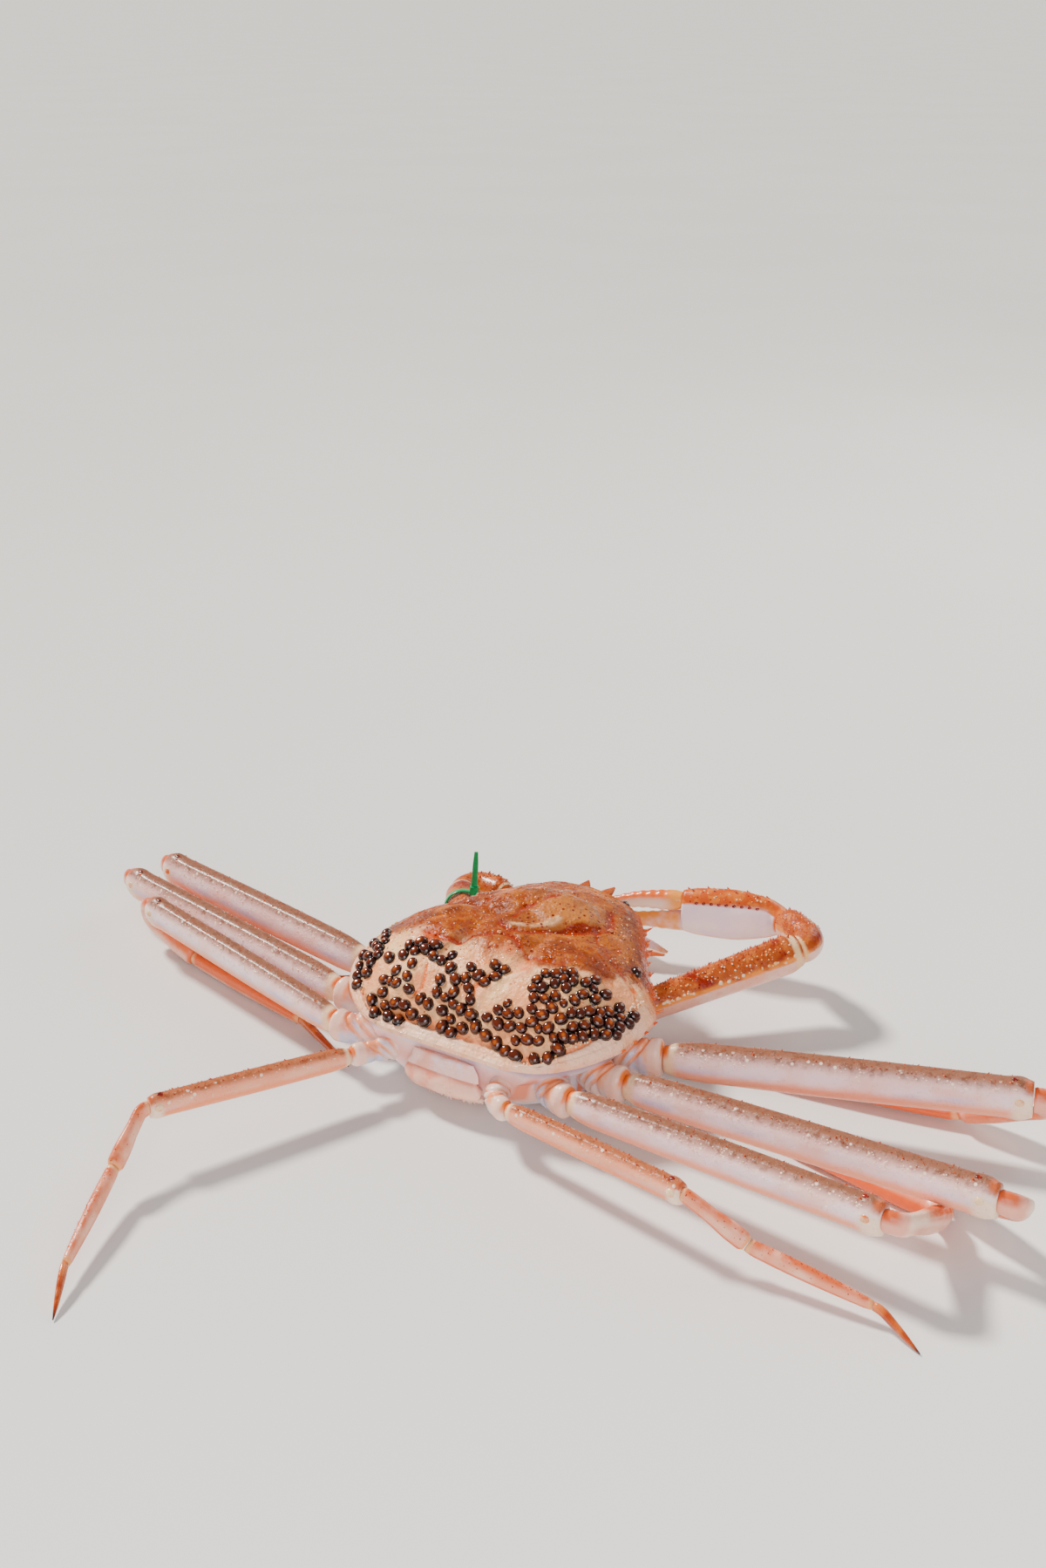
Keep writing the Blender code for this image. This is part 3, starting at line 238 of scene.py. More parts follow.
# Abdomen: distance forward of the rear wall, height, half breadth and half depth
ABDOMEN = [(-0.0020, RIM_HEIGHT - 0.0058, 0.0135, 0.0018),
           (-0.0028, RIM_HEIGHT - 0.0110, 0.0148, 0.0022),
           (-0.0034, RIM_HEIGHT - 0.0150, 0.0162, 0.0026),
           (-0.0012, 0.0082, 0.0150, 0.0024), (0.0050, 0.0050, 0.0142, 0.0018),
           (0.0160, 0.0022, 0.0120, 0.0015), (0.0300, 0.0014, 0.0100, 0.0014),
           (0.0440, 0.0014, 0.0062, 0.0014), (0.0520, 0.0014, 0.0030, 0.0012)]
ABDOMEN_STEPS = 220
ABDOMEN_SEAMS = [0.0, 0.090, 0.205, 0.33, 0.47, 0.61, 0.75, 0.88, 1.0]
# Mouthparts: height, half breadth and half depth
MOUTHPART = ([0.0135, 0.0145, 0.0200, 0.0255, 0.0275],
             [0.0026, 0.0042, 0.0046, 0.0042, 0.0028],
             [0.0012, 0.0020, 0.0024, 0.0020, 0.0012])

# Camera in the crab's frame, and the lens in millimetres, from the focal length and the
# height of the photograph in pixels
CAMERA_PLACE = (0.2859, -0.4728, 0.357)
CAMERA_PITCH = 24.5
CAMERA_TURN = 31.0
FOCAL_PIXELS = 2000
PICTURE_PIXELS = 1799
SENSOR_HEIGHT = 36.0
CAMERA_LENS = FOCAL_PIXELS / PICTURE_PIXELS * SENSOR_HEIGHT
# Lights: name, kind, place, angle or size, strength and colour
LIGHTS = [("key", "SUN", (-0.86, 0.16, 0.86), 0.16, 6.2, (1.0, 0.95, 0.88)),
          ("fill", "AREA", (0.60, -0.95, 0.48), 0.80, 12.0, (0.97, 0.96, 1.0)),
          ("back", "AREA", (0.30, 0.95, 0.70), 0.70, 5.0, (1.0, 0.96, 0.90))]
FLOOR_HALF = 200.0

low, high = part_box("carapace")
SHIFT = Vector(((low.x + high.x) / 2, low.y + MIDDLE_PLACE * CARAPACE_LENGTH, 0))


# Shared shape functions

SCATTER_TRIES = 3000
SCATTER_MARGIN = 0.0025
ARC_STEP = 6

def clamp(value):
    return min(1.0, max(0.0, value))


def bell(value, middle, width):
    return np.exp(-((value - middle) / width) ** 2)


def eased(value, places, values):
    """Smooth curve through values at rising places, with no overshoot between them."""
    value = min(max(value, places[0]), places[-1])
    last = len(places) - 1
    index = 0
    while index < last - 1 and value > places[index + 1]:
        index += 1
    slopes = [(values[step + 1] - values[step]) / (places[step + 1] - places[step])
              for step in range(last)]

    def tangent(knot):
        if knot in (0, last):
            return slopes[min(knot, last - 1)]
        before, after = slopes[knot - 1], slopes[knot]
        return 2 * before * after / (before + after) if before * after > 0 else 0.0

    span = places[index + 1] - places[index]
    share = (value - places[index]) / span
    rest = 1 - share
    return (values[index] * (1 + 2 * share) * rest ** 2
            + values[index + 1] * (3 - 2 * share) * share ** 2
            + span * share * rest * (tangent(index) * rest - tangent(index + 1) * share))


def place_to_y(place):
    return (place - MIDDLE_PLACE) * CARAPACE_LENGTH


def y_to_place(y):
    return y / CARAPACE_LENGTH + MIDDLE_PLACE


def half_breadth_at(y):
    return eased(y_to_place(y), OUTLINE_PLACE, OUTLINE_HALF) * CARAPACE_WIDTH


def rim_at(y):
    return RIM_HEIGHT + eased(y_to_place(y), RIM_PLACE, RIM_RISE)


def relief_at(x, y):
    height = 0.0
    for side, forward, wide, deep, rise in RELIEF:
        for sign in ((1, -1) if side else (1,)):
            across = (x / CARAPACE_WIDTH - sign * side) / wide
            along = (y / CARAPACE_WIDTH - forward) / deep
            height += rise * math.exp(-across * across - along * along)
    return height * CARAPACE_WIDTH


def carapace_top(x, y):
    place = y_to_place(y)
    half = half_breadth_at(y)
    share = min(1.0, abs(x) / half)
    rise = eased(place, DOME_PLACE, DOME_SHARE)
    arch = (1 - share ** 2.3) ** 0.62
    fade = min(1.0, 4 * (1 - share)) * min(1.0, rise * 2.5)
    inset = min(half - abs(x), place * CARAPACE_LENGTH)
    across = (inset - BEAD_INSET) / BEAD_SPREAD
    bead = BEAD_HEIGHT * math.exp(-across * across) * max(0.0, 1 - place / 0.42)
    return (rim_at(y) + RIM_THICK + DOME_HEIGHT * rise * arch + relief_at(x, y) * fade
            + bead)


def on_carapace(x, y, lift=0.0):
    return Vector((x, y, carapace_top(x, y) + lift))


def carapace_normal(x, y):
    reach = 0.0004
    across = (carapace_top(x + reach, y) - carapace_top(x - reach, y)) / (2 * reach)
    along = (carapace_top(x, y + reach) - carapace_top(x, y - reach)) / (2 * reach)
    return Vector((-across, -along, 1)).normalized()


def scattered(patches, spacing, seed, taken=()):
    """Seeded places in oval patches, none closer together than the spacing."""
    chance = random.Random(seed)
    places = list(taken)
    for middle_x, middle_y, half_length, half_breadth, turn, number in patches:
        wanted = len(places) + number
        for _ in range(SCATTER_TRIES):
            if len(places) == wanted:
                break
            reach = math.sqrt(chance.random())
            angle = 2 * math.pi * chance.random()
            along = half_length * reach * math.cos(angle)
            across = half_breadth * reach * math.sin(angle)
            spin = math.radians(turn)
            x = middle_x + along * math.cos(spin) - across * math.sin(spin)
            y = middle_y + along * math.sin(spin) + across * math.cos(spin)
            if half_breadth_at(y) - abs(x) < SCATTER_MARGIN:
                continue
            if all(math.hypot(x - place[0], y - place[1]) > spacing for place in places):
                places.append((x, y, 360 * chance.random()))
    return places


def heading(side, bearing, climb):
    """Direction with a bearing, counted from outwards to the front, and a climb."""
    turn, rise = math.radians(bearing), math.radians(climb)
    flat = math.cos(rise)
    return Vector((SIGN[side] * math.cos(turn) * flat, math.sin(turn) * flat,
                   math.sin(rise)))


def bent_path(start, old_way, new_way, turn_radius, length, arc_step, run_step):
    """Points and directions: an arc from the old way to the new, then straight on."""
    turn = old_way.angle(new_way)
    path = [(start.copy(), old_way.copy())]
    axis = old_way.cross(new_way)
    bend_length = 0.0
    if turn > math.radians(2) and axis.length > 1e-6:
        bend_length = turn_radius * turn
        axis.normalize()
        towards = axis.cross(old_way).normalized()
        centre = start + towards * turn_radius
        steps = max(1, round(turn / math.radians(arc_step)))
        for step in range(1, steps + 1):
            spin = Quaternion(axis, turn * step / steps)
            path.append((centre - spin @ (towards * turn_radius), spin @ old_way))
    corner = path[-1][0]
    run = length - bend_length
    steps = max(1, round(run / run_step))
    for step in range(1, steps + 1):
        path.append((corner + new_way * (run * step / steps), new_way.copy()))
    return path


def limb_stations(start, old_way, new_way, turn_radius, length, profile, upward,
                  run_step=0.0012):
    """Centre, along, upward, half breadth, half depth and share at each ring."""
    places, breadths, depths = profile
    path = bent_path(start + old_way * GAP, old_way, new_way, turn_radius, length,
                     ARC_STEP, run_step)
    lengths = [0.0]
    for (first, _), (second, _) in zip(path, path[1:]):
        lengths.append(lengths[-1] + (second - first).length)
    stations = []
    before = path[0][1]
    for (centre, along), reach in zip(path, lengths):
        upward = before.rotation_difference(along) @ upward
        upward = (upward - along * upward.dot(along)).normalized()
        before = along
        share = reach / lengths[-1]
        stations.append((centre, along, upward, eased(share, places, breadths),
                         eased(share, places, depths), share))
    return stations


def stations_along(count, ring, first=0.0):
    """Stations from a function of the share that gives all but the share."""
    shares = [first + (1 - first) * step / count for step in range(count + 1)]
    return [(*ring(share), max(0.0, share)) for share in shares]


def on_surface(stations, share, angle):
    """Point, outward way and way along the limb at a share and an angle round it."""
    index = 0
    while index < len(stations) - 2 and share > stations[index + 1][5]:
        index += 1
    first, second = stations[index], stations[index + 1]
    part = (share - first[5]) / (second[5] - first[5])
    centre = first[0].lerp(second[0], part)
    along = first[1].lerp(second[1], part).normalized()
    upward = first[2].lerp(second[2], part)
    breadth = first[3] + (second[3] - first[3]) * part
    depth = first[4] + (second[4] - first[4]) * part
    across = along.cross(upward).normalized()
    upright = across.cross(along).normalized()
    turn = math.radians(angle)
    point = (centre + across * (breadth * math.sin(turn))
             + upright * (depth * math.cos(turn)))
    outward = across * (math.sin(turn) / breadth) + upright * (math.cos(turn) / depth)
    return point, outward.normalized(), along


# Mesh making


class Build:
    """Points, faces and named values of one piece, gathered before it is made."""

    def __init__(self):
        self.points = []
        self.faces = []
        self.values = []
        self.count = 0

    def add(self, points, faces, values):
        """Values is one row per point: top, share, side and tone."""
        self.points.append(np.array([tuple(point) for point in points], float))
        self.faces += [tuple(int(index) + self.count for index in face) for face in faces]
        self.values.append(np.asarray(values, float))
        self.count += len(points)

    def piece(self, name, material, *nodes, slot, autosmooth=None):
        points = np.vstack(self.points) + np.array(SHIFT)
        points[:, 2] = np.maximum(points[:, 2], 0.0)
        mesh = bpy.data.meshes.new(name)
        mesh.from_pydata(points.tolist(), [], self.faces)
        columns = np.vstack(self.values).T
        for label, column in zip(("top", "share", "side", "tone"), columns):
            add_values(mesh, label, column)
        mesh.shade_smooth()
        if autosmooth:
            mesh.set_sharp_from_angle(angle=math.radians(autosmooth))
        mesh.materials.append(material)
        body = bpy.data.objects.new(name, mesh)
        bpy.context.scene.collection.objects.link(body)
        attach(body, "root")
        if nodes:
            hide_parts(*nodes)
        return body


def add_values(mesh, label, numbers):
    layer = mesh.attributes.new(label, "FLOAT", "POINT")
    layer.data.foreach_set("value", np.array(numbers, np.float32))


def grid_faces(rings, sides):
    faces = []
    for near in range(0, (rings - 1) * sides, sides):
        far = near + sides
        for index in range(sides):
            following = (index + 1) % sides
            faces.append((near + index, near + following, far + following, far + index))
    return faces


def tube(build, stations, sides=64, tone=0.5, shape=None, floor=True):
    """Closed tube through stations of centre, along, upward, half breadth, half depth
    and share. The shape gives a factor and a tone for each point of a ring."""
    angles = 2 * math.pi * (np.arange(sides) + 0.5) / sides
    sines, cosines = np.sin(angles), -np.cos(angles)
    rows = []
    values = []
    for centre, along, upward, breadth, depth, share in stations:
        across = along.cross(upward).normalized()
        upright = across.cross(along).normalized()
        factor, tones = (1.0, tone) if shape is None else shape(sines, cosines, share)
        ring = (np.array(centre) + np.outer(sines * breadth * factor, np.array(across))
                + np.outer(cosines * depth * factor, np.array(upright)))
        if floor:
            ring[:, 2] = np.maximum(ring[:, 2], 0.0)
        rows.append(ring)
        values.append(np.column_stack([cosines, np.full(sides, share), sines,
                                       np.ones(sides) * tones]))
    faces = grid_faces(len(stations), sides)
    count = len(stations) * sides
    rows += [rows[0].mean(axis=0)[None], rows[-1].mean(axis=0)[None]]
    values.append([(0.0, stations[0][5], 0.0, tone), (0.0, stations[-1][5], 0.0, tone)])
    for index in range(sides):
        following = (index + 1) % sides
        faces.append((count, following, index))
        faces.append((count + 1, count - sides + index, count - sides + following))
    build.add(np.vstack(rows), faces, np.vstack(values))


def closed_by_tip(build, rings, sides, tip, values):
    """Rings of points joined to one another, with the last one closed by the tip."""
    faces = grid_faces(len(rings) // sides, sides)
    last = len(rings) - sides
    for index in range(sides):
        faces.append((last + index, last + (index + 1) % sides, last + sides))
    build.add(rings + [tip], faces, values)


def tube_piece(name, paint, stations, *nodes, slot, sides=64, shape=None):
    """A piece that is a single tube."""
    build = Build()
    tube(build, stations, sides, shape=shape)
    build.piece(name, PAINT[paint], *nodes, slot=slot)


def mound(build, root, up, along, half_length, half_breadth, height, sides=12, rows=5,
          tone=0.5, sink=0.35, top_share=1.0):
    """Rounded bump: an oval half ball with its foot sunk."""
    along = (along - up * along.dot(up)).normalized()
    across = up.cross(along)
    points = []
    values = []
    for row in range(rows):
        rise = row / rows
        share = math.cos(rise * math.pi / 2) ** 0.75
        level = math.sin(rise * math.pi / 2)
        centre = root + up * (height * level if row else -height * sink)
        for index in range(sides):
            angle = 2 * math.pi * index / sides
            points.append(centre + along * (half_length * share * math.cos(angle))
                          + across * (half_breadth * share * math.sin(angle)))
            values.append((rise, level, math.sin(angle), tone))
    values.append((top_share, 1.0, 0.0, tone))
    closed_by_tip(build, points, sides, root + up * height, values)


def bead(build, root, up, size, chance):
    """Tiny round bump."""
    mound(build, root, up, AHEAD, size, size, size, 7, 3, chance.random())


def thorn(build, root, way, radius, height, sides=8, tone=0.5, lean=None):
    """Curved spine with a rounded foot."""
    first = way.orthogonal().normalized()
    second = way.cross(first)
    lean = lean or Vector((0, 0, 0))
    points = []
    values = []
    for level, share in ((-0.4, 1.35), (0.0, 1.15), (0.22, 0.78), (0.5, 0.50), (0.8, 0.24)):
        centre = root + way * (height * level) + lean * (height * max(0.0, level) ** 2)
        for index in range(sides):
            angle = 2 * math.pi * index / sides
            points.append(centre + (first * math.cos(angle) + second * math.sin(angle))
                          * (radius * share))
            values.append((level, max(0.0, level), 0.0, tone))
    values.append((1.0, 1.0, 0.0, tone))
    closed_by_tip(build, points, sides, root + way * height + lean * height, values)


# Materials


COLOUR_DEPTH = 1.9


def deepened(colour):
    """A richer version of a colour, with its brightest part kept."""
    most = max(colour)
    return [most * (part / most) ** COLOUR_DEPTH for part in colour] + [1.0]


class Paint:
    """A principled material whose colour is built up in layers."""

    def __init__(self, name, colour, roughness, coat=0.0, coat_roughness=0.12,
                 specular=0.3):
        self.material = bpy.data.materials.new(name)
        self.material.use_nodes = True
        self.nodes = self.material.node_tree.nodes
        self.links = self.material.node_tree.links
        self.shader = self.nodes["Principled BSDF"]
        self.shader.inputs["Roughness"].default_value = roughness
        self.shader.inputs["Coat Weight"].default_value = coat
        self.shader.inputs["Coat Roughness"].default_value = coat_roughness
        self.shader.inputs["Specular IOR Level"].default_value = specular
        base = self.nodes.new("ShaderNodeRGB")
        base.outputs[0].default_value = deepened(colour)
        self.colour = base.outputs[0]
        self.place = self.nodes.new("ShaderNodeTexCoord").outputs["Object"]
        self.normal = None

    def value(self, label):
        node = self.nodes.new("ShaderNodeAttribute")
        node.attribute_name = label
        return node.outputs["Fac"]

    def ramp(self, source, low_end, high_end):
        """Zero below the low end, one above the high end; the ends may be swapped."""
        node = self.nodes.new("ShaderNodeMapRange")
        node.interpolation_type = "SMOOTHSTEP"
        ends = (low_end, high_end, 0.0, 1.0)
        if low_end > high_end:
            ends = (high_end, low_end, 1.0, 0.0)
        for index, end in enumerate(ends, 1):
            node.inputs[index].default_value = end
        self.links.new(source, node.inputs[0])
        return node.outputs[0]

    def by(self, label):
        """Ramps over a named value of the mesh."""
        source = self.value(label)
        return lambda low_end, high_end: self.ramp(source, low_end, high_end)

    def swayed(self, label, scale, strength):
        """Ramps over a named value that wavers with a noise."""
        sway = self.maths("MULTIPLY", self.noise(scale, 0.2, 0.8), strength)
        source = self.maths("ADD", self.value(label), sway)
        return lambda low_end, high_end: self.ramp(source, low_end, high_end)

    def noise(self, scale, low_end, high_end):
        node = self.nodes.new("ShaderNodeTexNoise")
        node.inputs["Scale"].default_value = scale
        node.inputs["Detail"].default_value = 4.0
        self.links.new(self.place, node.inputs["Vector"])
        return self.ramp(node.outputs["Fac"], low_end, high_end)

    def cells(self, scale, low_end, high_end):
        node = self.nodes.new("ShaderNodeTexVoronoi")
        node.inputs["Scale"].default_value = scale
        self.links.new(self.place, node.inputs["Vector"])
        return self.ramp(node.outputs["Distance"], low_end, high_end)

    def maths(self, operation, first, second):
        node = self.nodes.new("ShaderNodeMath")
        node.operation = operation
        for socket, item in zip(node.inputs, (first, second)):
            if isinstance(item, (int, float)):
                socket.default_value = item
            else:
                self.links.new(item, socket)
        return node.outputs[0]

    def layer(self, colour, *masks):
        """A colour over the others, where all the masks let it through."""
        mask = masks[0]
        for other in masks[1:]:
            mask = self.maths("MULTIPLY", mask, other)
        node = self.nodes.new("ShaderNodeMix")
        node.data_type = "RGBA"
        node.inputs[7].default_value = deepened(colour)
        self.links.new(self.colour, node.inputs[6])
        self.links.new(mask, node.inputs[0])
        self.colour = node.outputs[2]

    def raise_by(self, mask, distance):
        bump = self.nodes.new("ShaderNodeBump")
        bump.inputs["Strength"].default_value = 1.0
        bump.inputs["Distance"].default_value = distance
        self.links.new(mask, bump.inputs["Height"])
        if self.normal:
            self.links.new(self.normal, bump.inputs["Normal"])
        self.normal = bump.outputs["Normal"]

    def done(self):
        self.links.new(self.colour, self.shader.inputs["Base Color"])
        if self.normal:
            self.links.new(self.normal, self.shader.inputs["Normal"])
        return self.material


def carapace_paint():
    """Brown front, peach rear, and the folds, patches and rim that the mesh names.

    Top is the brown front here, share the rim, side the pale lobes and tone the grey."""
    paint = Paint("carapace_shell", (0.95, 0.575, 0.355), 0.34, specular=0.22)
    grain, cells, layer = paint.noise, paint.cells, paint.layer
    front, fold, rim = paint.by("top"), paint.by("fold"), paint.value("share")
    layer((0.96, 0.68, 0.46), grain(95, 0.44, 0.66))
    layer((0.84, 0.42, 0.19), grain(260, 0.50, 0.68), grain(70, 0.42, 0.60))
    brown = paint.swayed("top", 130, 0.5)(0.52, 0.92)
    layer((0.30, 0.108, 0.008), brown)
    layer((0.42, 0.190, 0.022), brown, grain(300, 0.46, 0.62))
    layer((0.58, 0.275, 0.045), brown, grain(45, 0.54, 0.68))
    layer((0.18, 0.062, 0.008), brown, grain(85, 0.46, 0.64))
    layer((0.50, 0.27, 0.100), paint.value("tone"), grain(150, 0.15, 0.55))
    layer((0.98, 0.74, 0.48), paint.value("side"))
    # Folds: darker in the grooves and paler along the raised folds, partly the shell's own
    # colour and partly painted shade in the grooves and a painted highlight on the raised
    # folds.
    layer((0.30, 0.080, 0.020), fold(0.40, 0.12), front(0.0, 0.5), grain(160, 0.25, 0.5))
    layer((0.80, 0.34, 0.12), fold(0.44, 0.25), front(0.6, 0.1), grain(160, 0.25, 0.5))
    layer((0.97, 0.74, 0.52), fold(0.55, 1.0), grain(160, 0.30, 0.6))
    # Ochre patches, the ochre front edge, and the rim's groove and line, where the ochre is
    # partly the line's own colour and partly painted shade in the groove.
    layer((0.74, 0.24, 0.030), paint.value("ochre"))
    layer((0.16, 0.022, 0.008), front(0.15, 0.6), cells(480, 0.34, 0.18),
          grain(120, 0.42, 0.54))
    layer((0.42, 0.12, 0.04), cells(300, 0.20, 0.09), grain(80, 0.50, 0.60))
    layer((1.0, 0.77, 0.62), rim)
    layer((0.98, 0.68, 0.50), rim, grain(90, 0.46, 0.66))
    paint.raise_by(grain(150, 0.2, 0.8), 0.00065)
    paint.raise_by(grain(380, 0.2, 0.8), 0.00032)
    paint.raise_by(cells(620, 0.45, 0.05), 0.00020)
    rough = paint.maths("MULTIPLY", grain(230, 0.35, 0.60), 0.30)
    paint.links.new(paint.maths("ADD", 0.18, rough), paint.shader.inputs["Roughness"])
    return paint.done()


def leg_paint(name, side, second, top_colour, low_colour, cool=(0.70, 0.66, 0.78)):
    """Pearly sides, a brown band along the top and a warm lower edge."""
    paint = Paint(name, side, 0.34, coat=0.10)
    grain, cells, layer = paint.noise, paint.cells, paint.layer
    top, share, sway = paint.by("top"), paint.by("share"), paint.swayed("top", 200, 0.07)
    layer(second, grain(60, 0.42, 0.66))
    layer(cool, grain(48, 0.46, 0.66), top(0.3, -0.1), top(-0.9, -0.4))
    layer(low_colour, sway(0.10, -0.42))
    layer(second, sway(0.30, 0.80))
    band = sway(0.48, 1.04)
    layer(top_colour, band)
    layer([0.75 * part for part in top_colour], band, grain(420, 0.50, 0.66))
    layer((0.20, 0.050, 0.020), band, cells(560, 0.24, 0.12), grain(140, 0.40, 0.52))
    layer((0.99, 0.86, 0.74), top(0.20, 0.5), top(0.98, 0.85), cells(300, 0.22, 0.13),
          grain(90, 0.26, 0.44))
    layer((0.94, 0.80, 0.68), share(0.930, 0.965), sway(0.7, 0.2))
    layer((0.56, 0.24, 0.120), share(0.970, 0.990), top(0.45, 0.9))
    layer((0.94, 0.76, 0.58), share(0.045, 0.020))
    layer((0.82, 0.34, 0.08), share(0.020, 0.008), top(0.2, 0.8))
    paint.raise_by(grain(420, 0.25, 0.75), 0.00012)
    paint.raise_by(cells(820, 0.35, 0.05), 0.00014)
    return paint.done()


def carpus_paint():
    """Pink sides, a pale upper start, a brown upper end and a warm lower edge."""
    paint = Paint("leg_carpus_shell", (0.90, 0.58, 0.47), 0.28, coat=0.16)
    grain, layer = paint.noise, paint.layer
    top, share = paint.by("top"), paint.by("share")
    layer((0.90, 0.66, 0.56), grain(110, 0.42, 0.64))
    layer((0.93, 0.75, 0.63), top(0.05, 0.55), share(0.60, 0.40))
    layer((0.62, 0.26, 0.130), top(0.40, 0.90), share(0.36, 0.56), grain(220, 0.2, 0.6))
    layer((0.80, 0.36, 0.20), top(-0.5, -0.95), grain(150, 0.2, 0.6))
    layer((0.84, 0.54, 0.45), share(0.165, 0.120))
    layer((0.66, 0.25, 0.11), share(0.120, 0.060), top(0.1, 0.7))
    layer((0.72, 0.32, 0.17), share(0.95, 0.99))
    paint.raise_by(grain(420, 0.25, 0.75), 0.00014)
    return paint.done()


def propodus_paint(name):
    """Orange pink with a brown top, an orange lower edge and dark specks."""
    paint = Paint(name, (0.88, 0.50, 0.36), 0.30, coat=0.16)
    grain, layer = paint.noise, paint.layer
    top, share = paint.by("top"), paint.by("share")
    layer((0.94, 0.66, 0.54), grain(100, 0.42, 0.66))
    layer((0.64, 0.25, 0.110), top(0.35, 0.95), grain(170, 0.2, 0.6))
    layer((0.80, 0.30, 0.12), top(-0.1, -0.5))
    layer((0.90, 0.60, 0.38), share(0.06, 0.02))
    layer((0.88, 0.54, 0.30), share(0.95, 0.99))
    layer((0.26, 0.060, 0.020), paint.cells(640, 0.2, 0.08), top(0.0, 0.5))
    paint.raise_by(grain(420, 0.25, 0.75), 0.00012)
    return paint.done()


def dactyl_paint():
    """Brown horn with a dark tip."""
    paint = Paint("leg_dactyl_horn", (0.38, 0.12, 0.025), 0.24, coat=0.5)
    share = paint.by("share")
    paint.layer((0.60, 0.25, 0.06), paint.noise(240, 0.4, 0.65))
    paint.layer((0.72, 0.34, 0.14), share(0.25, 0.02))
    paint.layer((0.070, 0.018, 0.006), share(0.74, 1.0))
    paint.raise_by(paint.noise(500, 0.25, 0.75), 0.00012)
    return paint.done()


def coxa_paint():
    """Pearly plates with thin orange creases, and a cream collar at the outer end."""
    paint = Paint("coxa_shell", (0.90, 0.76, 0.70), 0.26, coat=0.18)
    grain, layer = paint.noise, paint.layer
    top, share, crease = paint.by("top"), paint.by("share"), paint.by("tone")
    layer((0.62, 0.64, 0.74), grain(60, 0.42, 0.62), share(0.95, 0.70))
    layer((0.92, 0.62, 0.46), grain(110, 0.46, 0.64), top(-0.6, 0.4))
    layer((0.93, 0.60, 0.44), crease(0.02, 0.6), top(-0.5, 0.2), grain(120, 0.25, 0.55))
    layer((0.88, 0.43, 0.22), crease(0.50, 0.98), top(-0.2, 0.5), grain(110, 0.40, 0.60))
    layer((0.93, 0.50, 0.30), share(0.54, 0.64), top(-0.1, 0.6), grain(90, 0.30, 0.55))
    layer((0.95, 0.73, 0.63), share(0.76, 0.84), share(0.99, 0.95))
    layer((0.84, 0.38, 0.12), share(0.975, 0.990), top(0.2, 0.8))
    paint.raise_by(grain(240, 0.2, 0.8), 0.00030)
    return paint.done()


def claw_paint():
    """Pink below and speckled brown above, with an ochre edge and cream ends."""
    paint = Paint("claw_arm_shell", (0.84, 0.58, 0.48), 0.30, coat=0.16)
    grain, cells, layer = paint.noise, paint.cells, paint.layer
    top, share = paint.by("top"), paint.by("share")
    layer((0.86, 0.68, 0.60), grain(85, 0.42, 0.65))
    upper = paint.swayed("top", 170, 0.14)(0.14, 0.30)
    layer((0.42, 0.165, 0.050), upper)
    layer((0.58, 0.27, 0.09), upper, grain(240, 0.44, 0.62))
    layer((0.28, 0.058, 0.014), upper, grain(110, 0.52, 0.68))
    layer((0.22, 0.040, 0.012), upper, cells(480, 0.26, 0.12))
    layer((0.86, 0.46, 0.13), top(0.0, 0.16), top(0.44, 0.24), grain(120, 0.3, 0.6))
    layer((0.72, 0.24, 0.07), top(-0.75, -0.95), grain(90, 0.2, 0.6))
    layer((0.92, 0.68, 0.42), share(0.05, 0.02))
    layer((0.94, 0.74, 0.50), share(0.935, 0.955), share(0.992, 0.975))
    paint.raise_by(grain(380, 0.25, 0.75), 0.00018)
    paint.raise_by(cells(700, 0.35, 0.05), 0.00018)
    return paint.done()


def palm_paint():
    """Pearly sides and a speckled brown top on the palm, and an ochre fixed finger."""
    paint = Paint("claw_palm_shell", (0.92, 0.80, 0.84), 0.28, coat=0.18)
    grain, layer = paint.noise, paint.layer
    top, finger = paint.by("top"), paint.value("tone")
    hand = paint.maths("SUBTRACT", 1.0, finger)
    layer((0.97, 0.86, 0.84), grain(110, 0.42, 0.66))
    upper = paint.maths("MULTIPLY", top(0.46, 0.60), hand)
    layer((0.56, 0.20, 0.045), upper)
    layer((0.70, 0.33, 0.10), upper, grain(260, 0.45, 0.62))
    layer((0.36, 0.065, 0.014), upper, paint.cells(460, 0.24, 0.12))
    layer((0.84, 0.34, 0.09), top(-0.72, -0.95), hand, grain(90, 0.2, 0.6))
    layer((0.90, 0.52, 0.16), finger, grain(70, 0.35, 0.6))
    layer((0.80, 0.36, 0.11), paint.by("share")(0.09, 0.03), hand)
    paint.raise_by(grain(380, 0.25, 0.75), 0.00012)
    return paint.done()


def finger_paint():
    paint = Paint("claw_finger_shell", (0.90, 0.76, 0.66), 0.28, coat=0.18)
    paint.layer((0.80, 0.30, 0.06), paint.by("top")(0.10, 0.70),
                paint.noise(90, 0.15, 0.45))
    paint.layer((0.88, 0.52, 0.18), paint.by("share")(0.24, 0.04))
    paint.raise_by(paint.noise(380, 0.25, 0.75), 0.00010)
    return paint.done()


def body_paint():
    """Pearly wall with cool, warm and orange patches, seams, and a painted shade band along
    its top under the rim.
    """
    paint = Paint("body_wall", (0.97, 0.86, 0.85), 0.26, coat=0.18)
    grain, layer = paint.noise, paint.layer
    layer((0.78, 0.82, 0.92), grain(55, 0.44, 0.60))
    layer((0.97, 0.76, 0.68), grain(75, 0.50, 0.64))
    layer((0.84, 0.38, 0.18), grain(52, 0.58, 0.68), grain(170, 0.4, 0.6))
    layer((0.84, 0.46, 0.34), paint.value("tone"))
    # Painted shade: a cool grey band along the top of the wall, where the rim overhangs it.
    layer((0.50, 0.42, 0.47), paint.by("top")(0.84, 0.95))
    paint.raise_by(grain(220, 0.2, 0.8), 0.00030)
    return paint.done()


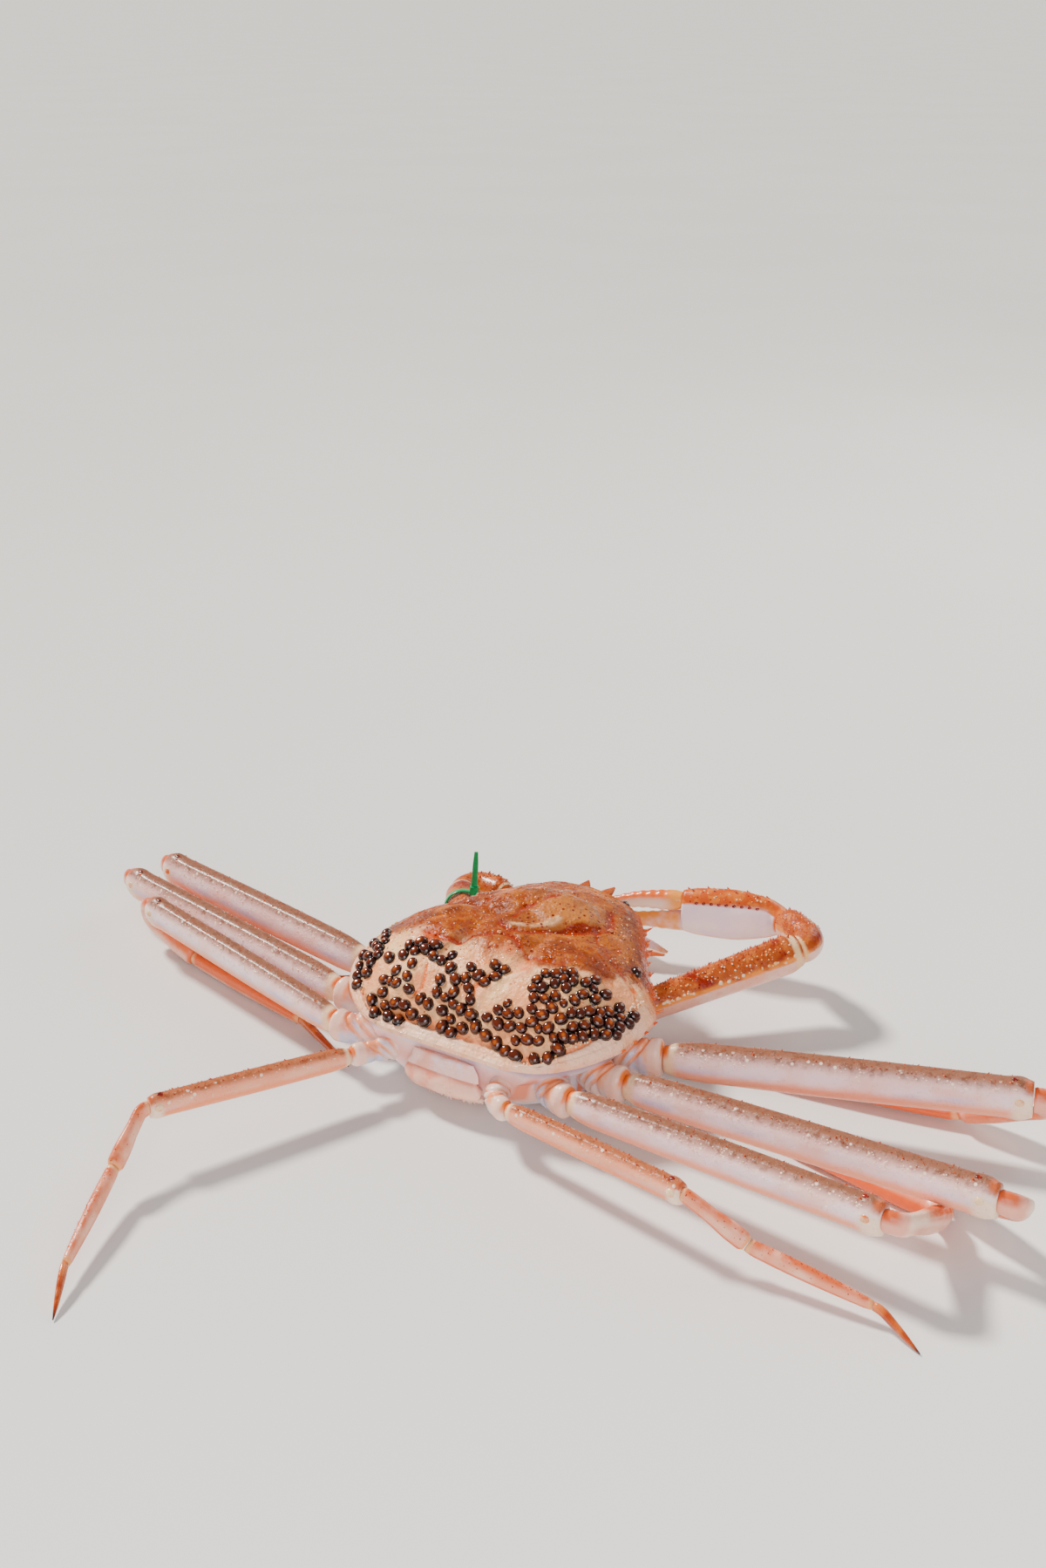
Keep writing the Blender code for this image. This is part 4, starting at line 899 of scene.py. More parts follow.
def abdomen_paint():
    """Pearly plates, with a warmer roll at the rear edge."""
    paint = Paint("abdomen_shell", (0.96, 0.74, 0.68), 0.28, coat=0.12)
    grain, layer, share = paint.noise, paint.layer, paint.by("share")
    layer((0.90, 0.82, 0.86), grain(110, 0.50, 0.66), share(0.10, 0.08))
    layer((0.96, 0.64, 0.54), grain(90, 0.46, 0.64))
    lip = paint.maths("MULTIPLY", share(0.088, 0.10), share(0.215, 0.20))
    layer((0.97, 0.70, 0.60), lip)
    layer((0.94, 0.54, 0.42), lip, grain(120, 0.44, 0.62))
    layer((1.0, 0.86, 0.78), lip, share(0.16, 0.20))
    layer((0.76, 0.36, 0.26), paint.value("tone"), grain(90, 0.25, 0.5))
    paint.raise_by(grain(200, 0.2, 0.8), 0.00040)
    return paint.done()


def cocoon_paint():
    paint = Paint("cocoon", (0.012, 0.004, 0.002), 0.16, coat=0.7, coat_roughness=0.06)
    top, tone = paint.by("top"), paint.by("tone")
    paint.layer((0.125, 0.040, 0.008), top(0.30, 0.85), tone(-0.25, 0.35))
    # Amber crown on top of each cocoon: partly its own amber, partly a painted highlight.
    paint.layer((0.46, 0.20, 0.035), top(0.76, 1.0), tone(0.05, 1.0))
    return paint.done()


def thorn_paint():
    paint = Paint("thorn", (0.62, 0.22, 0.07), 0.30, coat=0.16)
    paint.layer((0.16, 0.040, 0.014), paint.by("share")(0.20, 0.85))
    return paint.done()


def plain_paint(name, colour, roughness, coat, second, scale, bump=0.0001):
    paint = Paint(name, colour, roughness, coat)
    paint.layer(second, paint.noise(scale, 0.42, 0.62))
    paint.raise_by(paint.noise(scale * 2, 0.2, 0.8), bump)
    return paint.done()


PAINT = {
    "carapace": carapace_paint(),
    "merus": leg_paint("leg_shell", (0.97, 0.85, 0.86), (0.95, 0.73, 0.68),
                       (0.25, 0.145, 0.100), (0.94, 0.58, 0.44)),
    "merus_4": leg_paint("rear_leg_shell", (0.94, 0.62, 0.48), (0.92, 0.53, 0.38),
                         (0.42, 0.210, 0.115), (0.93, 0.47, 0.27), (0.90, 0.62, 0.55)),
    "carpus": carpus_paint(),
    "carpus_4": propodus_paint("rear_leg_carpus_shell"),
    "propodus": propodus_paint("leg_propodus_shell"),
    "dactyl": dactyl_paint(),
    "coxa": coxa_paint(),
    "claw": claw_paint(),
    "palm": palm_paint(),
    "finger": finger_paint(),
    "body": body_paint(),
    "abdomen": abdomen_paint(),
    "cocoon": cocoon_paint(),
    "thorn": thorn_paint(),
}
# Plain paints: name, colour, roughness, coat, second colour, scale of its grain and bump
PLAIN_PAINTS = {
    "fringe": ("fringe_shell", (0.96, 0.76, 0.66), 0.30, 0.2, (0.90, 0.56, 0.44), 200),
    "lobe": ("margin_lobe", (0.86, 0.34, 0.06), 0.26, 0.3, (0.66, 0.18, 0.03), 300),
    "wart": ("wart_shell", (0.46, 0.14, 0.045), 0.26, 0.5, (0.76, 0.42, 0.22), 260),
    "granule": ("pearl_granule", (0.94, 0.80, 0.64), 0.20, 0.6, (0.92, 0.64, 0.32), 90),
    "pearl": ("pearl_white", (0.97, 0.82, 0.72), 0.20, 0.3, (0.94, 0.72, 0.58), 90),
    "condyle": ("condyle_shell", (0.92, 0.76, 0.56), 0.24, 0.6, (0.72, 0.30, 0.08), 150),
    "dot": ("dark_dot", (0.12, 0.018, 0.006), 0.22, 0.5, (0.24, 0.045, 0.012), 300),
    "eye": ("eye_gloss", (0.012, 0.008, 0.008), 0.08, 1.0, (0.04, 0.02, 0.015), 300,
            0.00002),
    "stalk": ("eye_stalk", (0.70, 0.34, 0.18), 0.28, 0.4, (0.86, 0.60, 0.46), 200),
    "mouth": ("mouthpart_shell", (0.82, 0.48, 0.34), 0.30, 0.4, (0.90, 0.68, 0.56), 140,
              0.0002),
    "tag": ("tag_plastic", (0.012, 0.30, 0.15), 0.30, 0.3, (0.018, 0.38, 0.20), 120,
            0.00003),
}
PAINT.update((kind, plain_paint(*row)) for kind, row in PLAIN_PAINTS.items())


# Carapace

SHELL_ROWS, SHELL_COLUMNS = 240, 261


def wave(x, y, layer, scale):
    """Smooth noise between -1 and 1 at a point of one of its layers."""
    return noise.noise(Vector((x, y, layer)) * scale)


def fold_heights(points, swellings):
    """Height of folds and raised parts at many points, from their distance to each."""
    xs, ys = points[:, 0] * 1000, points[:, 1] * 1000
    heights = np.zeros(xs.shape)
    for wide, rise, line in FOLDS:
        nearest = np.full(xs.shape, 1e9)
        for (x0, y0), (x1, y1) in zip(line, line[1:]):
            run = np.array([x1 - x0, y1 - y0])
            part = ((xs - x0) * run[0] + (ys - y0) * run[1]) / run.dot(run)
            part = np.clip(part, 0, 1)
            nearest = np.minimum(nearest, np.hypot(xs - x0 - part * run[0],
                                                   ys - y0 - part * run[1]))
        heights += 1.4 * rise * bell(nearest, 0, wide)
    for x, y, reach, soft, rise in swellings:
        away = np.clip((np.hypot(xs - x, ys - y) - reach) / soft + 0.5, 0, 1)
        heights += rise * (1 - away * away * (3 - 2 * away))
    return heights / 1000


def spots_at(x, y, spots):
    """How near a point in metres lies to any of the spots, with ragged edges."""
    near = 0.0
    for middle_x, middle_y, reach in spots:
        away = ((x * 1000 - middle_x) ** 2 + (y * 1000 - middle_y) ** 2) / reach ** 2
        near += math.exp(-away)
    return clamp(near * (0.75 + 0.8 * wave(x, y, 2.0, 260)))


def masks_at(x, y, inset):
    """Brown front, pale lobes, ochre patches and grey swelling at a point."""
    border = float(np.interp(x * 1000, BORDER_X, BORDER_Y)) / 1000
    front = 0.5 + (y - border + 0.0060 * wave(x, y, 3.0, 60)) / 0.012
    grey = math.exp(-((x - 0.012) / 0.016) ** 2 - ((y - 0.017) / 0.017) ** 2) * 1.1
    blotch = math.exp(-((x - 0.040) / 0.011) ** 2 - ((y + 0.025) / 0.007) ** 2)
    blotch *= max(0.0, 0.6 + 1.6 * wave(x, y, 1.0, 170))
    ochre = 0.8 * spots_at(x, y, OCHRE_SPOTS)
    ochre += max(0.0, 1 - inset / 0.0045) * clamp((y + 0.006) / 0.012)
    return (clamp(front), min(1.0, spots_at(x, y, PALE_SPOTS) + blotch), min(1.0, ochre),
            min(1.0, grey))


def rim_step(inset, place):
    """Narrow groove inside the rolled rim, and a line along the rim."""
    groove = bell(inset, GROOVE_INSET, GROOVE_HALF)
    line = LINE_SHARE * bell(inset, LINE_INSET, LINE_HALF)
    return (groove + line) * clamp((0.44 - place) * 9)


def build_carapace():
    points, values, ochres = [], [], []
    for row in range(SHELL_ROWS + 1):
        place = FRONT_PLACE * (0.5 - 0.5 * math.cos(math.pi * row / SHELL_ROWS)) ** 0.86
        y = place_to_y(place)
        half = half_breadth_at(y)
        under = rim_at(y)
        edge = [(half - 0.0014, under), (half - 0.0003, under + 0.0001),
                (half, under + 0.0006)]
        ring = [(-x, z, 0.0) for x, z in edge]
        for column in range(SHELL_COLUMNS):
            share = math.sin(math.pi / 2 * (2 * column / (SHELL_COLUMNS - 1) - 1))
            x = half * share
            if column in (0, SHELL_COLUMNS - 1):
                ring.append((x * (1 - 0.0002 / half), carapace_top(x, y) - 0.0003, 0.0))
                continue
            fade = min(1.0, 12 * (1 - abs(share))) * min(1.0, place * 30)
            step = rim_step(min(half - abs(x), place * CARAPACE_LENGTH), place)
            rough = (0.00020 * noise.fractal(Vector((x, y, 0)) * 260, 0.9, 2.0, 4)
                     + 0.00045 * wave(x, y, 5.0, 95))
            ring.append((x, carapace_top(x, y) + rough * fade - GROOVE_DEEP * step, fade))
        ring += [(x, z, 0.0) for x, z in reversed(edge)]
        for x, z, fade in ring:
            inset = max(0.0, min(half - abs(x), place * CARAPACE_LENGTH))
            front, pale, ochre, grey = masks_at(x, y, inset)
            rim = clamp((0.0048 - inset) / 0.0014) * clamp((0.46 - place) * 8)
            points.append((x, y, z, fade))
            values.append((front, rim, pale * (1 - rim), grey))
            # The rim's groove and line are painted ochre as well: partly their own colour,
            # partly painted shade in the groove.
            ochres.append(min(1.0, ochre * (1 - rim) + 0.55 * rim_step(inset, place)))
    points = np.array(points)
    points[:, 2] += fold_heights(points, SWELLINGS) * points[:, 3]
    # Fold heights for the paint, which darkens the grooves and lightens the raised folds:
    # partly the shell's colour, partly painted shade and painted highlight.
    lines = np.clip(0.5 + 0.5 * fold_heights(points, ()) * 1100, 0, 1)
    width = SHELL_COLUMNS + 6
    faces = grid_faces(SHELL_ROWS + 1, width)
    for base in (0, SHELL_ROWS * width):
        middle = base + width // 2
        faces.append((middle - 1, middle, middle + 1))
        for step in range(1, width // 2):
            faces.append((middle - step - 1, middle - step, middle + step,
                          middle + step + 1))
    build = Build()
    build.add(points[:, :3], faces, values)
    add_rostrum(build)
    others = build.count - len(ochres)
    shell = build.piece("carapace_shell", PAINT["carapace"], "carapace", slot="shell",
                        autosmooth=60)
    add_values(shell.data, "ochre", ochres + [0.3] * others)
    add_values(shell.data, "fold", [*lines, *[0.5] * others])


def add_rostrum(build):
    """Bridge between the two horns of the rostrum, and the horns."""
    front = place_to_y(FRONT_PLACE)
    base = rim_at(front) + RIM_THICK + 0.0025

    def bridge(share):
        places = [0.0, 0.45, 0.8, 1.0]
        return (Vector((0, front - 0.006 + 0.0120 * share, base + 0.0002 * share)), AHEAD,
                UP, eased(share, places, [0.0100, 0.0090, 0.0080, 0.0060]),
                eased(share, places, [0.0030, 0.0027, 0.0019, 0.0010]))

    tube(build, stations_along(20, bridge), 32, 0.15, floor=False)
    for sign in (-1, 1):
        way = Vector((sign * 0.16, 1, 0.06)).normalized()
        root = Vector((sign * 0.0040, front + 0.002, base))
        reach = (place_to_y(1.0) - root.y) / way.y

        def horn(share):
            places = [0, 0.55, 1]
            return (root + way * reach * share, way, UP,
                    eased(share, places, [0.0034, 0.0026, 0.0005]),
                    eased(share, places, [0.0014, 0.0011, 0.0004]))

        tube(build, stations_along(24, horn), 24, 0.1, floor=False)
    for layer in build.values[1:]:
        layer[:] = (0.9, 0.0, 0.0, 0.2)


def build_margin():
    """Spines, orange lobes and granules along the sides of the carapace."""
    build = Build()
    chance = random.Random(SEED + 5)
    for place, height in MARGIN_SPINES:
        y = place_to_y(place)
        slope = (half_breadth_at(y + 0.001) - half_breadth_at(y - 0.001)) / 0.002
        height *= 1.3 if place > 0.4 else 1.0
        wide = 1.7 if place > 0.5 else 1.15
        for sign in (-1, 1):
            way = Vector((sign, -slope + 0.35, 0.25)).normalized()
            root = Vector((sign * (half_breadth_at(y) - 0.0004), y,
                           rim_at(y) + RIM_THICK * 0.55))
            thorn(build, root, way, SPINE_RADIUS * wide, height, 12, chance.random(),
                  Vector((0, 0.25, 0.05)))
    for step in range(7):
        y = place_to_y(0.56 + 0.044 * step)
        for sign in (-1, 1):
            root = Vector((sign * (half_breadth_at(y) - 0.0012), y,
                           rim_at(y) + RIM_THICK * 0.9))
            size = 0.75 + 0.45 * chance.random()
            mound(build, root, Vector((sign, 0.2, 0.35)).normalized(), AHEAD,
                  0.0019 * size, 0.0012 * size, 0.0021 * size, 14, 6, chance.random())
    for step in range(150):
        y = place_to_y(0.10 + 0.76 * step / 150)
        for sign in (-1, 1):
            inset = 0.0004 + 0.0012 * chance.random()
            x = sign * (half_breadth_at(y) - inset)
            root = Vector((x, y, min(carapace_top(x, y), rim_at(y) + RIM_THICK * 1.3)))
            size = 0.00022 + 0.00022 * chance.random()
            bead(build, root, Vector((sign * 0.7, 0, 0.7)).normalized(), size, chance)
    build.piece("carapace_spines", PAINT["lobe"], slot="shell")
    return chance


def build_warts(chance):
    """Warts and granules on the carapace; the chance goes on from the margin's."""
    build = Build()
    for x, y, _ in scattered(WART_PATCHES, 0.0030, SEED + 1):
        mound(build, on_carapace(x, y), carapace_normal(x, y), RIGHT, WART_RADIUS,
              WART_RADIUS, 0.0006, 12, 5, chance.random())
    for x, y, _ in scattered(FINE_PATCHES, 0.0014, SEED + 2):
        size = 0.00020 + 0.00025 * chance.random() ** 2
        mound(build, on_carapace(x, y), carapace_normal(x, y), RIGHT, size, size,
              size * 0.8, 7, 3, chance.random())
    build.piece("carapace_warts", PAINT["wart"], slot="shell")
    build = Build()
    for step in range(70):
        y = place_to_y(0.03 + 0.40 * step / 70)
        for sign in (-1, 1):
            x = sign * (half_breadth_at(y) - 0.0044 - 0.0016 * chance.random())
            size = 0.00030 + 0.00020 * chance.random()
            bead(build, on_carapace(x, y), carapace_normal(x, y), size, chance)
    for x, y, _ in scattered(PEARL_PATCHES, 0.0020, SEED + 3):
        size = 0.00016 + 0.00016 * chance.random()
        bead(build, on_carapace(x, y), carapace_normal(x, y), size, chance)
    build.piece("carapace_granules", PAINT["granule"], slot="shell")


def build_cocoons():
    """Dark domed cocoons of leeches, each on a thin skirt."""
    chance = random.Random(SEED + 9)
    build = Build()
    places = scattered(COCOON_PATCHES, COCOON_SPACING, SEED)
    crowded = [(*COCOON_PATCHES[index][:5], number) for index, number in CROWDED]
    filled = scattered(crowded, CROWDED_SPACING, SEED + 20, places)
    filled = places + [spot for spot in filled[len(places):]
                       if y_to_place(spot[1]) * CARAPACE_LENGTH > CROWDED_INSET]
    for number, (x, y, turn) in enumerate(filled):
        spin = math.radians(turn)
        up = carapace_normal(x, y)
        along = Vector((math.cos(spin), math.sin(spin), 0))
        root = on_carapace(x, y, 0.0001)
        size = (0.98 if number < len(places) else 0.82) + 0.20 * chance.random()
        tone = chance.random()
        mound(build, root, up, along, COCOON_HALF_LENGTH * size * 1.18,
              COCOON_HALF_BREADTH * size * 1.22, 0.00030, 20, 3, 0.0, sink=1.2,
              top_share=0.0)
        mound(build, root, up, along, COCOON_HALF_LENGTH * size * 1.04,
              COCOON_HALF_BREADTH * size * 1.06, COCOON_HEIGHT * size, 20, 8, tone)
    build.piece("leech_cocoons", PAINT["cocoon"], slot="shell")


# Underside and abdomen


def shares_of(points):
    """Share of the way along a line of points at each of them."""
    lengths = [0.0]
    for first, second in zip(points, points[1:]):
        lengths.append(lengths[-1] + math.dist(first, second))
    return [length / lengths[-1] for length in lengths]


def underside_line(y, steps):
    """Points and shares down one side, from the rim to the sole, with eased corners."""
    place = y_to_place(y)
    top = rim_at(y) - GAP
    wide = half_breadth_at(y) - 0.0035
    belly = eased(place, *BELLY)
    sole = eased(place, *SOLE) * wide
    middle = max(sole * 1.05, wide - eased(place, *TUCK))
    corners = [(wide, top), (wide - 0.0015, top - 0.0045), (middle, 0.0165),
               (middle * 0.96, belly + 0.0052), (sole, belly)]
    shares = shares_of(corners)
    xs, zs = zip(*corners)
    return [(eased(step / steps, shares, xs), eased(step / steps, shares, zs), step / steps)
            for step in range(steps + 1)]


def build_underside():
    rows, steps = 90, 24
    points, values = [], []
    for row in range(rows + 1):
        place = REAR_WALL_PLACE + (FRONT_PLACE - REAR_WALL_PLACE) * row / rows
        y = place_to_y(place)
        line = underside_line(y, steps)
        groove = max(0.0, math.sin(place * 34.0)) ** 6 * 0.0007
        for side, half in ((1, line), (-1, line[::-1])):
            for x, z, level in half:
                inward = groove * math.sin(math.pi * level)
                points.append((side * (x - inward), y, z))
                values.append((1 - level, place, side, min(1.0, inward / 0.0004)))
    width = 2 * (steps + 1)
    last = rows * width
    faces = grid_faces(rows + 1, width)
    faces += [tuple(range(width)), tuple(range(last, last + width))]
    build = Build()
    build.add(points, faces, values)
    build.piece("body_wall", PAINT["body"], "underside", slot="body_wall", autosmooth=55)


def seam_before(share):
    """Seam of the abdomen that its plate at this share starts from."""
    return max(place for place in ABDOMEN_SEAMS if place <= share)


def plate_shape(sines, cosines, share):
    """Squarish section with soft lumps, toned near the seams."""
    seam = seam_before(share)
    power = 2.6 if seam else 2.0
    square = (np.abs(sines) ** power + np.abs(cosines) ** power) ** (1 / 3.4)
    edge = 0.6 * bell(share, seam, 0.016) if seam else 0.0
    lumps = 0.05 * np.sin(sines * 9 + share * 40) * np.cos(sines * 4 - share * 25)
    return (1.0 + lumps) / square, edge


def build_abdomen():
    """Overlapping plates, down the rear of the body and forward under the belly."""
    rear = place_to_y(REAR_WALL_PLACE)
    line = [(0, rear + ahead, height) for ahead, height, _, _ in ABDOMEN]
    shares = shares_of(line)
    columns = [*zip(*line), *list(zip(*ABDOMEN))[2:]]
    count = ABDOMEN_STEPS
    rings = []
    for step in range(count + 1):
        numbers = [eased(step / count, shares, column) for column in columns]
        rings.append((Vector(numbers[:3]), *numbers[3:], step / count))
    stations = []
    for index, (centre, breadth, depth, share) in enumerate(rings):
        before, after = rings[max(0, index - 1)][0], rings[min(count, index + 1)][0]
        along = (after - before).normalized()
        seam = seam_before(share)
        reach = min(1.0, (share - seam) / 0.11)
        rise = min(1.0, (share - seam) / 0.008)
        roll = math.sin(math.pi * reach) ** 0.6 if seam else 0.35
        thick = 0.60 + (0.85 if seam == ABDOMEN_SEAMS[1] else 0.45) * roll
        thick *= 0.70 + 0.30 * rise
        stations.append((centre, along, RIGHT.cross(along),
                         breadth * (0.91 + 0.09 * reach), depth * thick, share))
    tube_piece("abdomen_plates", "abdomen", stations, "abdomen", slot="abdomen", sides=96,
               shape=plate_shape)
    fringe = Build()
    chance = random.Random(SEED + 12)
    for step in range(120):
        angle = 180 + 88 * (2 * step / 119 - 1)
        point, outward, along = on_surface(stations, 0.190 + 0.008 * chance.random(), angle)
        way = (along + outward * (0.35 + 0.5 * chance.random())).normalized()
        thorn(fringe, point, way, 0.00042, 0.0013 + 0.0010 * chance.random(), 6,
              chance.random())
    for step in range(90):
        angle = 180 + 80 * (2 * chance.random() - 1)
        point, outward, along = on_surface(stations, 0.10 + 0.08 * chance.random(), angle)
        mound(fringe, point, outward, along, 0.00025, 0.00020, 0.00018, 7, 3,
              chance.random())
    fringe.piece("abdomen_fringe", PAINT["fringe"], slot="abdomen")


# Limbs

# Climbs tried for a carpus, and the coarse steps of the paths that they are tried on
CLIMB_STEP, CLIMB_STEPS = -0.25, 240
COARSE_STEPS = (32, 1.0)

def on_side(side, place):
    """A place given for the right side, or its mirror image."""
    return Vector((SIGN[side] * place[0], place[1], place[2]))


def ridged(ends, tone, *ridges):
    """Shape of a tube with ridges and hollows along it, which fade towards its ends.

    Each is a height, an angle from the top and a width."""

    def shape(sines, cosines, share):
        angle = np.degrees(np.arctan2(np.abs(sines), cosines))
        swell = sum(height * bell(angle, middle, wide) for height, middle, wide in ridges)
        return 1.0 + swell * min(1.0, ends * share, ends * (1 - share)), tone

    return shape


LEG_RIDGES = ridged(8, 0.5, (0.035, 30, 10.0), (-0.035, 0, 17.0), (0.03, 180, 14.0))
CARPUS_RIDGES = ridged(6, 0.5, (0.05, 0, 16.0), (-0.05, 62, 15.0))
CLAW_RIDGES = ridged(8, 0.5, (0.05, 72, 14.0), (-0.045, 30, 18.0), (0.03, 0, 9.0))
PALM_RIDGES = ridged(5, 0.0, (0.03, 52, 12.0))


def carpus_shape(sines, cosines, share):
    """Ridge above, a furrow along each side, and folds of skin where the carpus starts."""
    factor, tone = CARPUS_RIDGES(sines, cosines, share)
    skin = max(0.0, 1 - share / 0.16)
    return factor - 0.06 * skin * (1 + math.cos(share * 220)) / 2, tone


LEG_SHAPES = {"merus": LEG_RIDGES, "carpus": carpus_shape, "propodus": LEG_RIDGES}


def coxa_shape(sines, cosines, share):
    """Swollen start, a lip near the end and slanting creases."""
    crease = np.zeros(len(cosines))
    for middle, slant, deep, wide in COXA_CREASES:
        crease += deep * bell(share - middle - slant * (cosines - 0.4), 0, wide)
    swell = 0.04 * math.sin(math.pi * min(1.0, share / 0.4))
    lip = 0.03 * bell(share, 0.90, 0.045)
    return 1.0 + swell + lip - crease, np.minimum(1.0, crease / 0.10)


def build_coxa(prefix, side, inner, outer, way, half_depth):
    """First segment, bent from the body to the way of the next one."""
    places, breadths, depths = COXA_PROFILE
    start = on_side(side, inner)
    end = on_side(side, outer) - way * GAP
    corner = end - way * ((end - start).length * 0.5)

    def ring(share):
        first = start.lerp(corner, share)
        second = corner.lerp(end, share)
        return (first.lerp(second, share), (second - first).normalized(), UP,
                half_depth * eased(share, places, breadths),
                half_depth * eased(share, places, depths))

    tube_piece(prefix + "coxa_shell", "coxa", stations_along(60, ring), prefix + "coxa",
               slot="coxa", shape=coxa_shape)


def leg_profile(half_depth, kind):
    """Places, half breadths and half depths along a segment."""
    places, shares = LEG_PROFILES[kind]
    depths = [half_depth * share for share in shares]
    return places, [depth * LEG_FLATNESS for depth in depths], depths


def resting_climb(side, pose, start, old_way, lengths, rest_height):
    """Climb of the carpus that brings the end of the next segment to the rest height."""

    def miss(climb):
        way = heading(side, pose["carpus"][0], climb)
        carpus = bent_path(start + old_way * GAP, old_way, way, KNEE_TURN,
                           lengths["carpus"], *COARSE_STEPS)
        propodus = bent_path(carpus[-1][0], way, heading(side, *pose["propodus"]),
                             SOFT_TURN, lengths["propodus"], *COARSE_STEPS)
        return abs(propodus[-1][0].z - rest_height)

    return min((CLIMB_STEP * step for step in range(CLIMB_STEPS)), key=miss)


def sprinkle(small, kind, side, stations, angles, spread, number, size, seed, first=0.05,
             last=0.96):
    """Many tiny thorns or bumps near lines that run along a limb."""
    chance = random.Random(SEED + seed)
    for _ in range(number):
        angle = chance.choice(angles) + spread * chance.gauss(0, 1)
        share = first + (last - first) * chance.random()
        point, outward, along = on_surface(stations, share, angle * SIGN[side])
        tiny = size * (0.6 + 0.8 * chance.random() ** 2)
        if kind == "thorn":
            thorn(small[kind], point, (outward + along * 0.5).normalized(), tiny * 0.8,
                  tiny * 2.2, 6, chance.random())
        else:
            mound(small[kind], point, outward, along, tiny * 1.2, tiny, tiny * 0.8, 7, 3,
                  chance.random())


def spine_rows(small, side, stations, rows):
    """Even rows of spines along a limb."""
    for angle, first, last, number, radius, height in rows:
        for step in range(number):
            share = first + (last - first) * step / (number - 1)
            point, outward, along = on_surface(stations, share, angle * SIGN[side])
            way = (outward + along * 0.4).normalized()
            thorn(small["thorn"], point - outward * (0.3 * radius), way, radius * 0.9,
                  height, 10, 0.5, along * 0.15)


def build_leg(side, index, small):
    pose = dict(zip(LEG_PIECES, LEG_POSE[side][index]))
    prefix = "leg_%s_%d_" % (side, index + 1)
    seed = 100 * index + (50 if side == "left" else 0)
    half_depth = MERUS_HALF_DEPTH[index]
    merus = MERUS_LENGTH[index]
    lengths = dict(zip(LEG_PIECES, [merus] + [merus * share
                                              for share in SEGMENT_SHARES[index]]))
    point = on_side(side, LEG_ROOT[index])
    way = heading(side, *pose["merus"])
    bearing, climb = pose["carpus"]
    if climb is None:
        rest_height = max(leg_profile(half_depth, "propodus")[2]) * FLAT_EDGE
        climb = resting_climb(side, pose, point + way * merus, way, lengths, rest_height)
        pose["carpus"] = (bearing, climb)
    build_coxa(prefix, side, COXA_ROOT[index], LEG_ROOT[index], way, half_depth)
    upward = UP
    for piece in LEG_PIECES:
        turn = KNEE_TURN if piece == "carpus" else SOFT_TURN
        stations = limb_stations(point, way, heading(side, *pose[piece]), turn,
                                 lengths[piece], leg_profile(half_depth, piece), upward)
        point, way, upward = stations[-1][:3]
        own_paint = "%s_%d" % (piece, index + 1)
        paint = own_paint if own_paint in PAINT else piece
        tube_piece(prefix + piece + "_shell", paint, stations, prefix + piece,
                   slot="leg_" + piece, sides=64 if piece == "merus" else 48,
                   shape=LEG_SHAPES.get(piece))
        if piece == "merus":
            add_merus_forms(side, index, stations, seed, small)
        if piece == "propodus":
            sprinkle(small, "thorn", side, stations, (15, -15), 14, 60, 0.00018, seed + 3)


def add_merus_forms(side, index, stations, seed, small):
    """Spines, spinules, pearls, the two condyles at the knee and a dark dot."""
    spine_rows(small, side, stations, LEG_SPINES)
    sprinkle(small, "thorn", side, stations, (24, -24), 7, 170, 0.00022, seed + 1)
    number, size = (70, 0.00022) if index == 3 else (200, 0.00030)
    sprinkle(small, "pearl", side, stations, (40, -40, 48, -48, 64, -64), 7, number, size,
             seed + 2)
    for angle in (78, -78):
        spot, outward, along = on_surface(stations, 0.965, angle)
        mound(small["condyle"], spot - outward * 0.0006, outward, along, 0.0017, 0.0015,
              0.0011, 14, 5)
    spot, outward, along = on_surface(stations, 0.950, 8 * SIGN[side])
    mound(small["dot"], spot, outward, along, 0.0011, 0.0008, 0.00030, 12, 4)


def build_claw(side, small):
    prefix = "claw_%s_" % side
    merus_way, carpus_way, palm_way, finger_way = [heading(side, *pose)
                                                   for pose in CLAW_POSE[side]]
    root = on_side(side, CLAW_ROOT)
    build_coxa(prefix, side, CLAW_COXA_ROOT, CLAW_ROOT, merus_way, CLAW_COXA_HALF_DEPTH)
    stations = limb_stations(root, merus_way, merus_way, SOFT_TURN, CLAW_MERUS_LENGTH,
                             CLAW_MERUS_PROFILE, UP)
    tube_piece(prefix + "merus_shell", "claw", stations, prefix + "merus", slot="claw_arm",
               shape=CLAW_RIDGES)
    if side == "left":
        build_tag(root, merus_way)
        sprinkle(small, "thorn", side, stations, (0, 40, -40), 16, 90, 0.00030, 31,
                 last=0.66)
    else:
        spine_rows(small, side, stations, CLAW_SPINES["merus"])
        sprinkle(small, "thorn", side, stations, (0, 6, -30), 12, 190, 0.00032, 32)
        sprinkle(small, "granule", side, stations, (70,), 3, 60, 0.00060, 33)
        sprinkle(small, "granule", side, stations, (45, 25), 12, 90, 0.00026, 34)
    point, way, upward = stations[-1][:3]
    stations = limb_stations(point, way, carpus_way, CLAW_TURN, CLAW_CARPUS_LENGTH,
                             CLAW_CARPUS_PROFILE, upward, 0.0008)
    tube_piece(prefix + "carpus_shell", "claw", stations, prefix + "carpus",
               slot="claw_arm")
    spine_rows(small, side, stations, CLAW_SPINES["carpus"])
    sprinkle(small, "thorn", side, stations, (10, 40, -30), 18, 90, 0.00032, 35, first=0.25)
    sprinkle(small, "granule", side, stations, (60, 80), 14, 50, 0.00040, 36, first=0.3)
    point, way, upward = stations[-1][:3]
    build_palm(prefix, side, point, way, palm_way, finger_way, small)


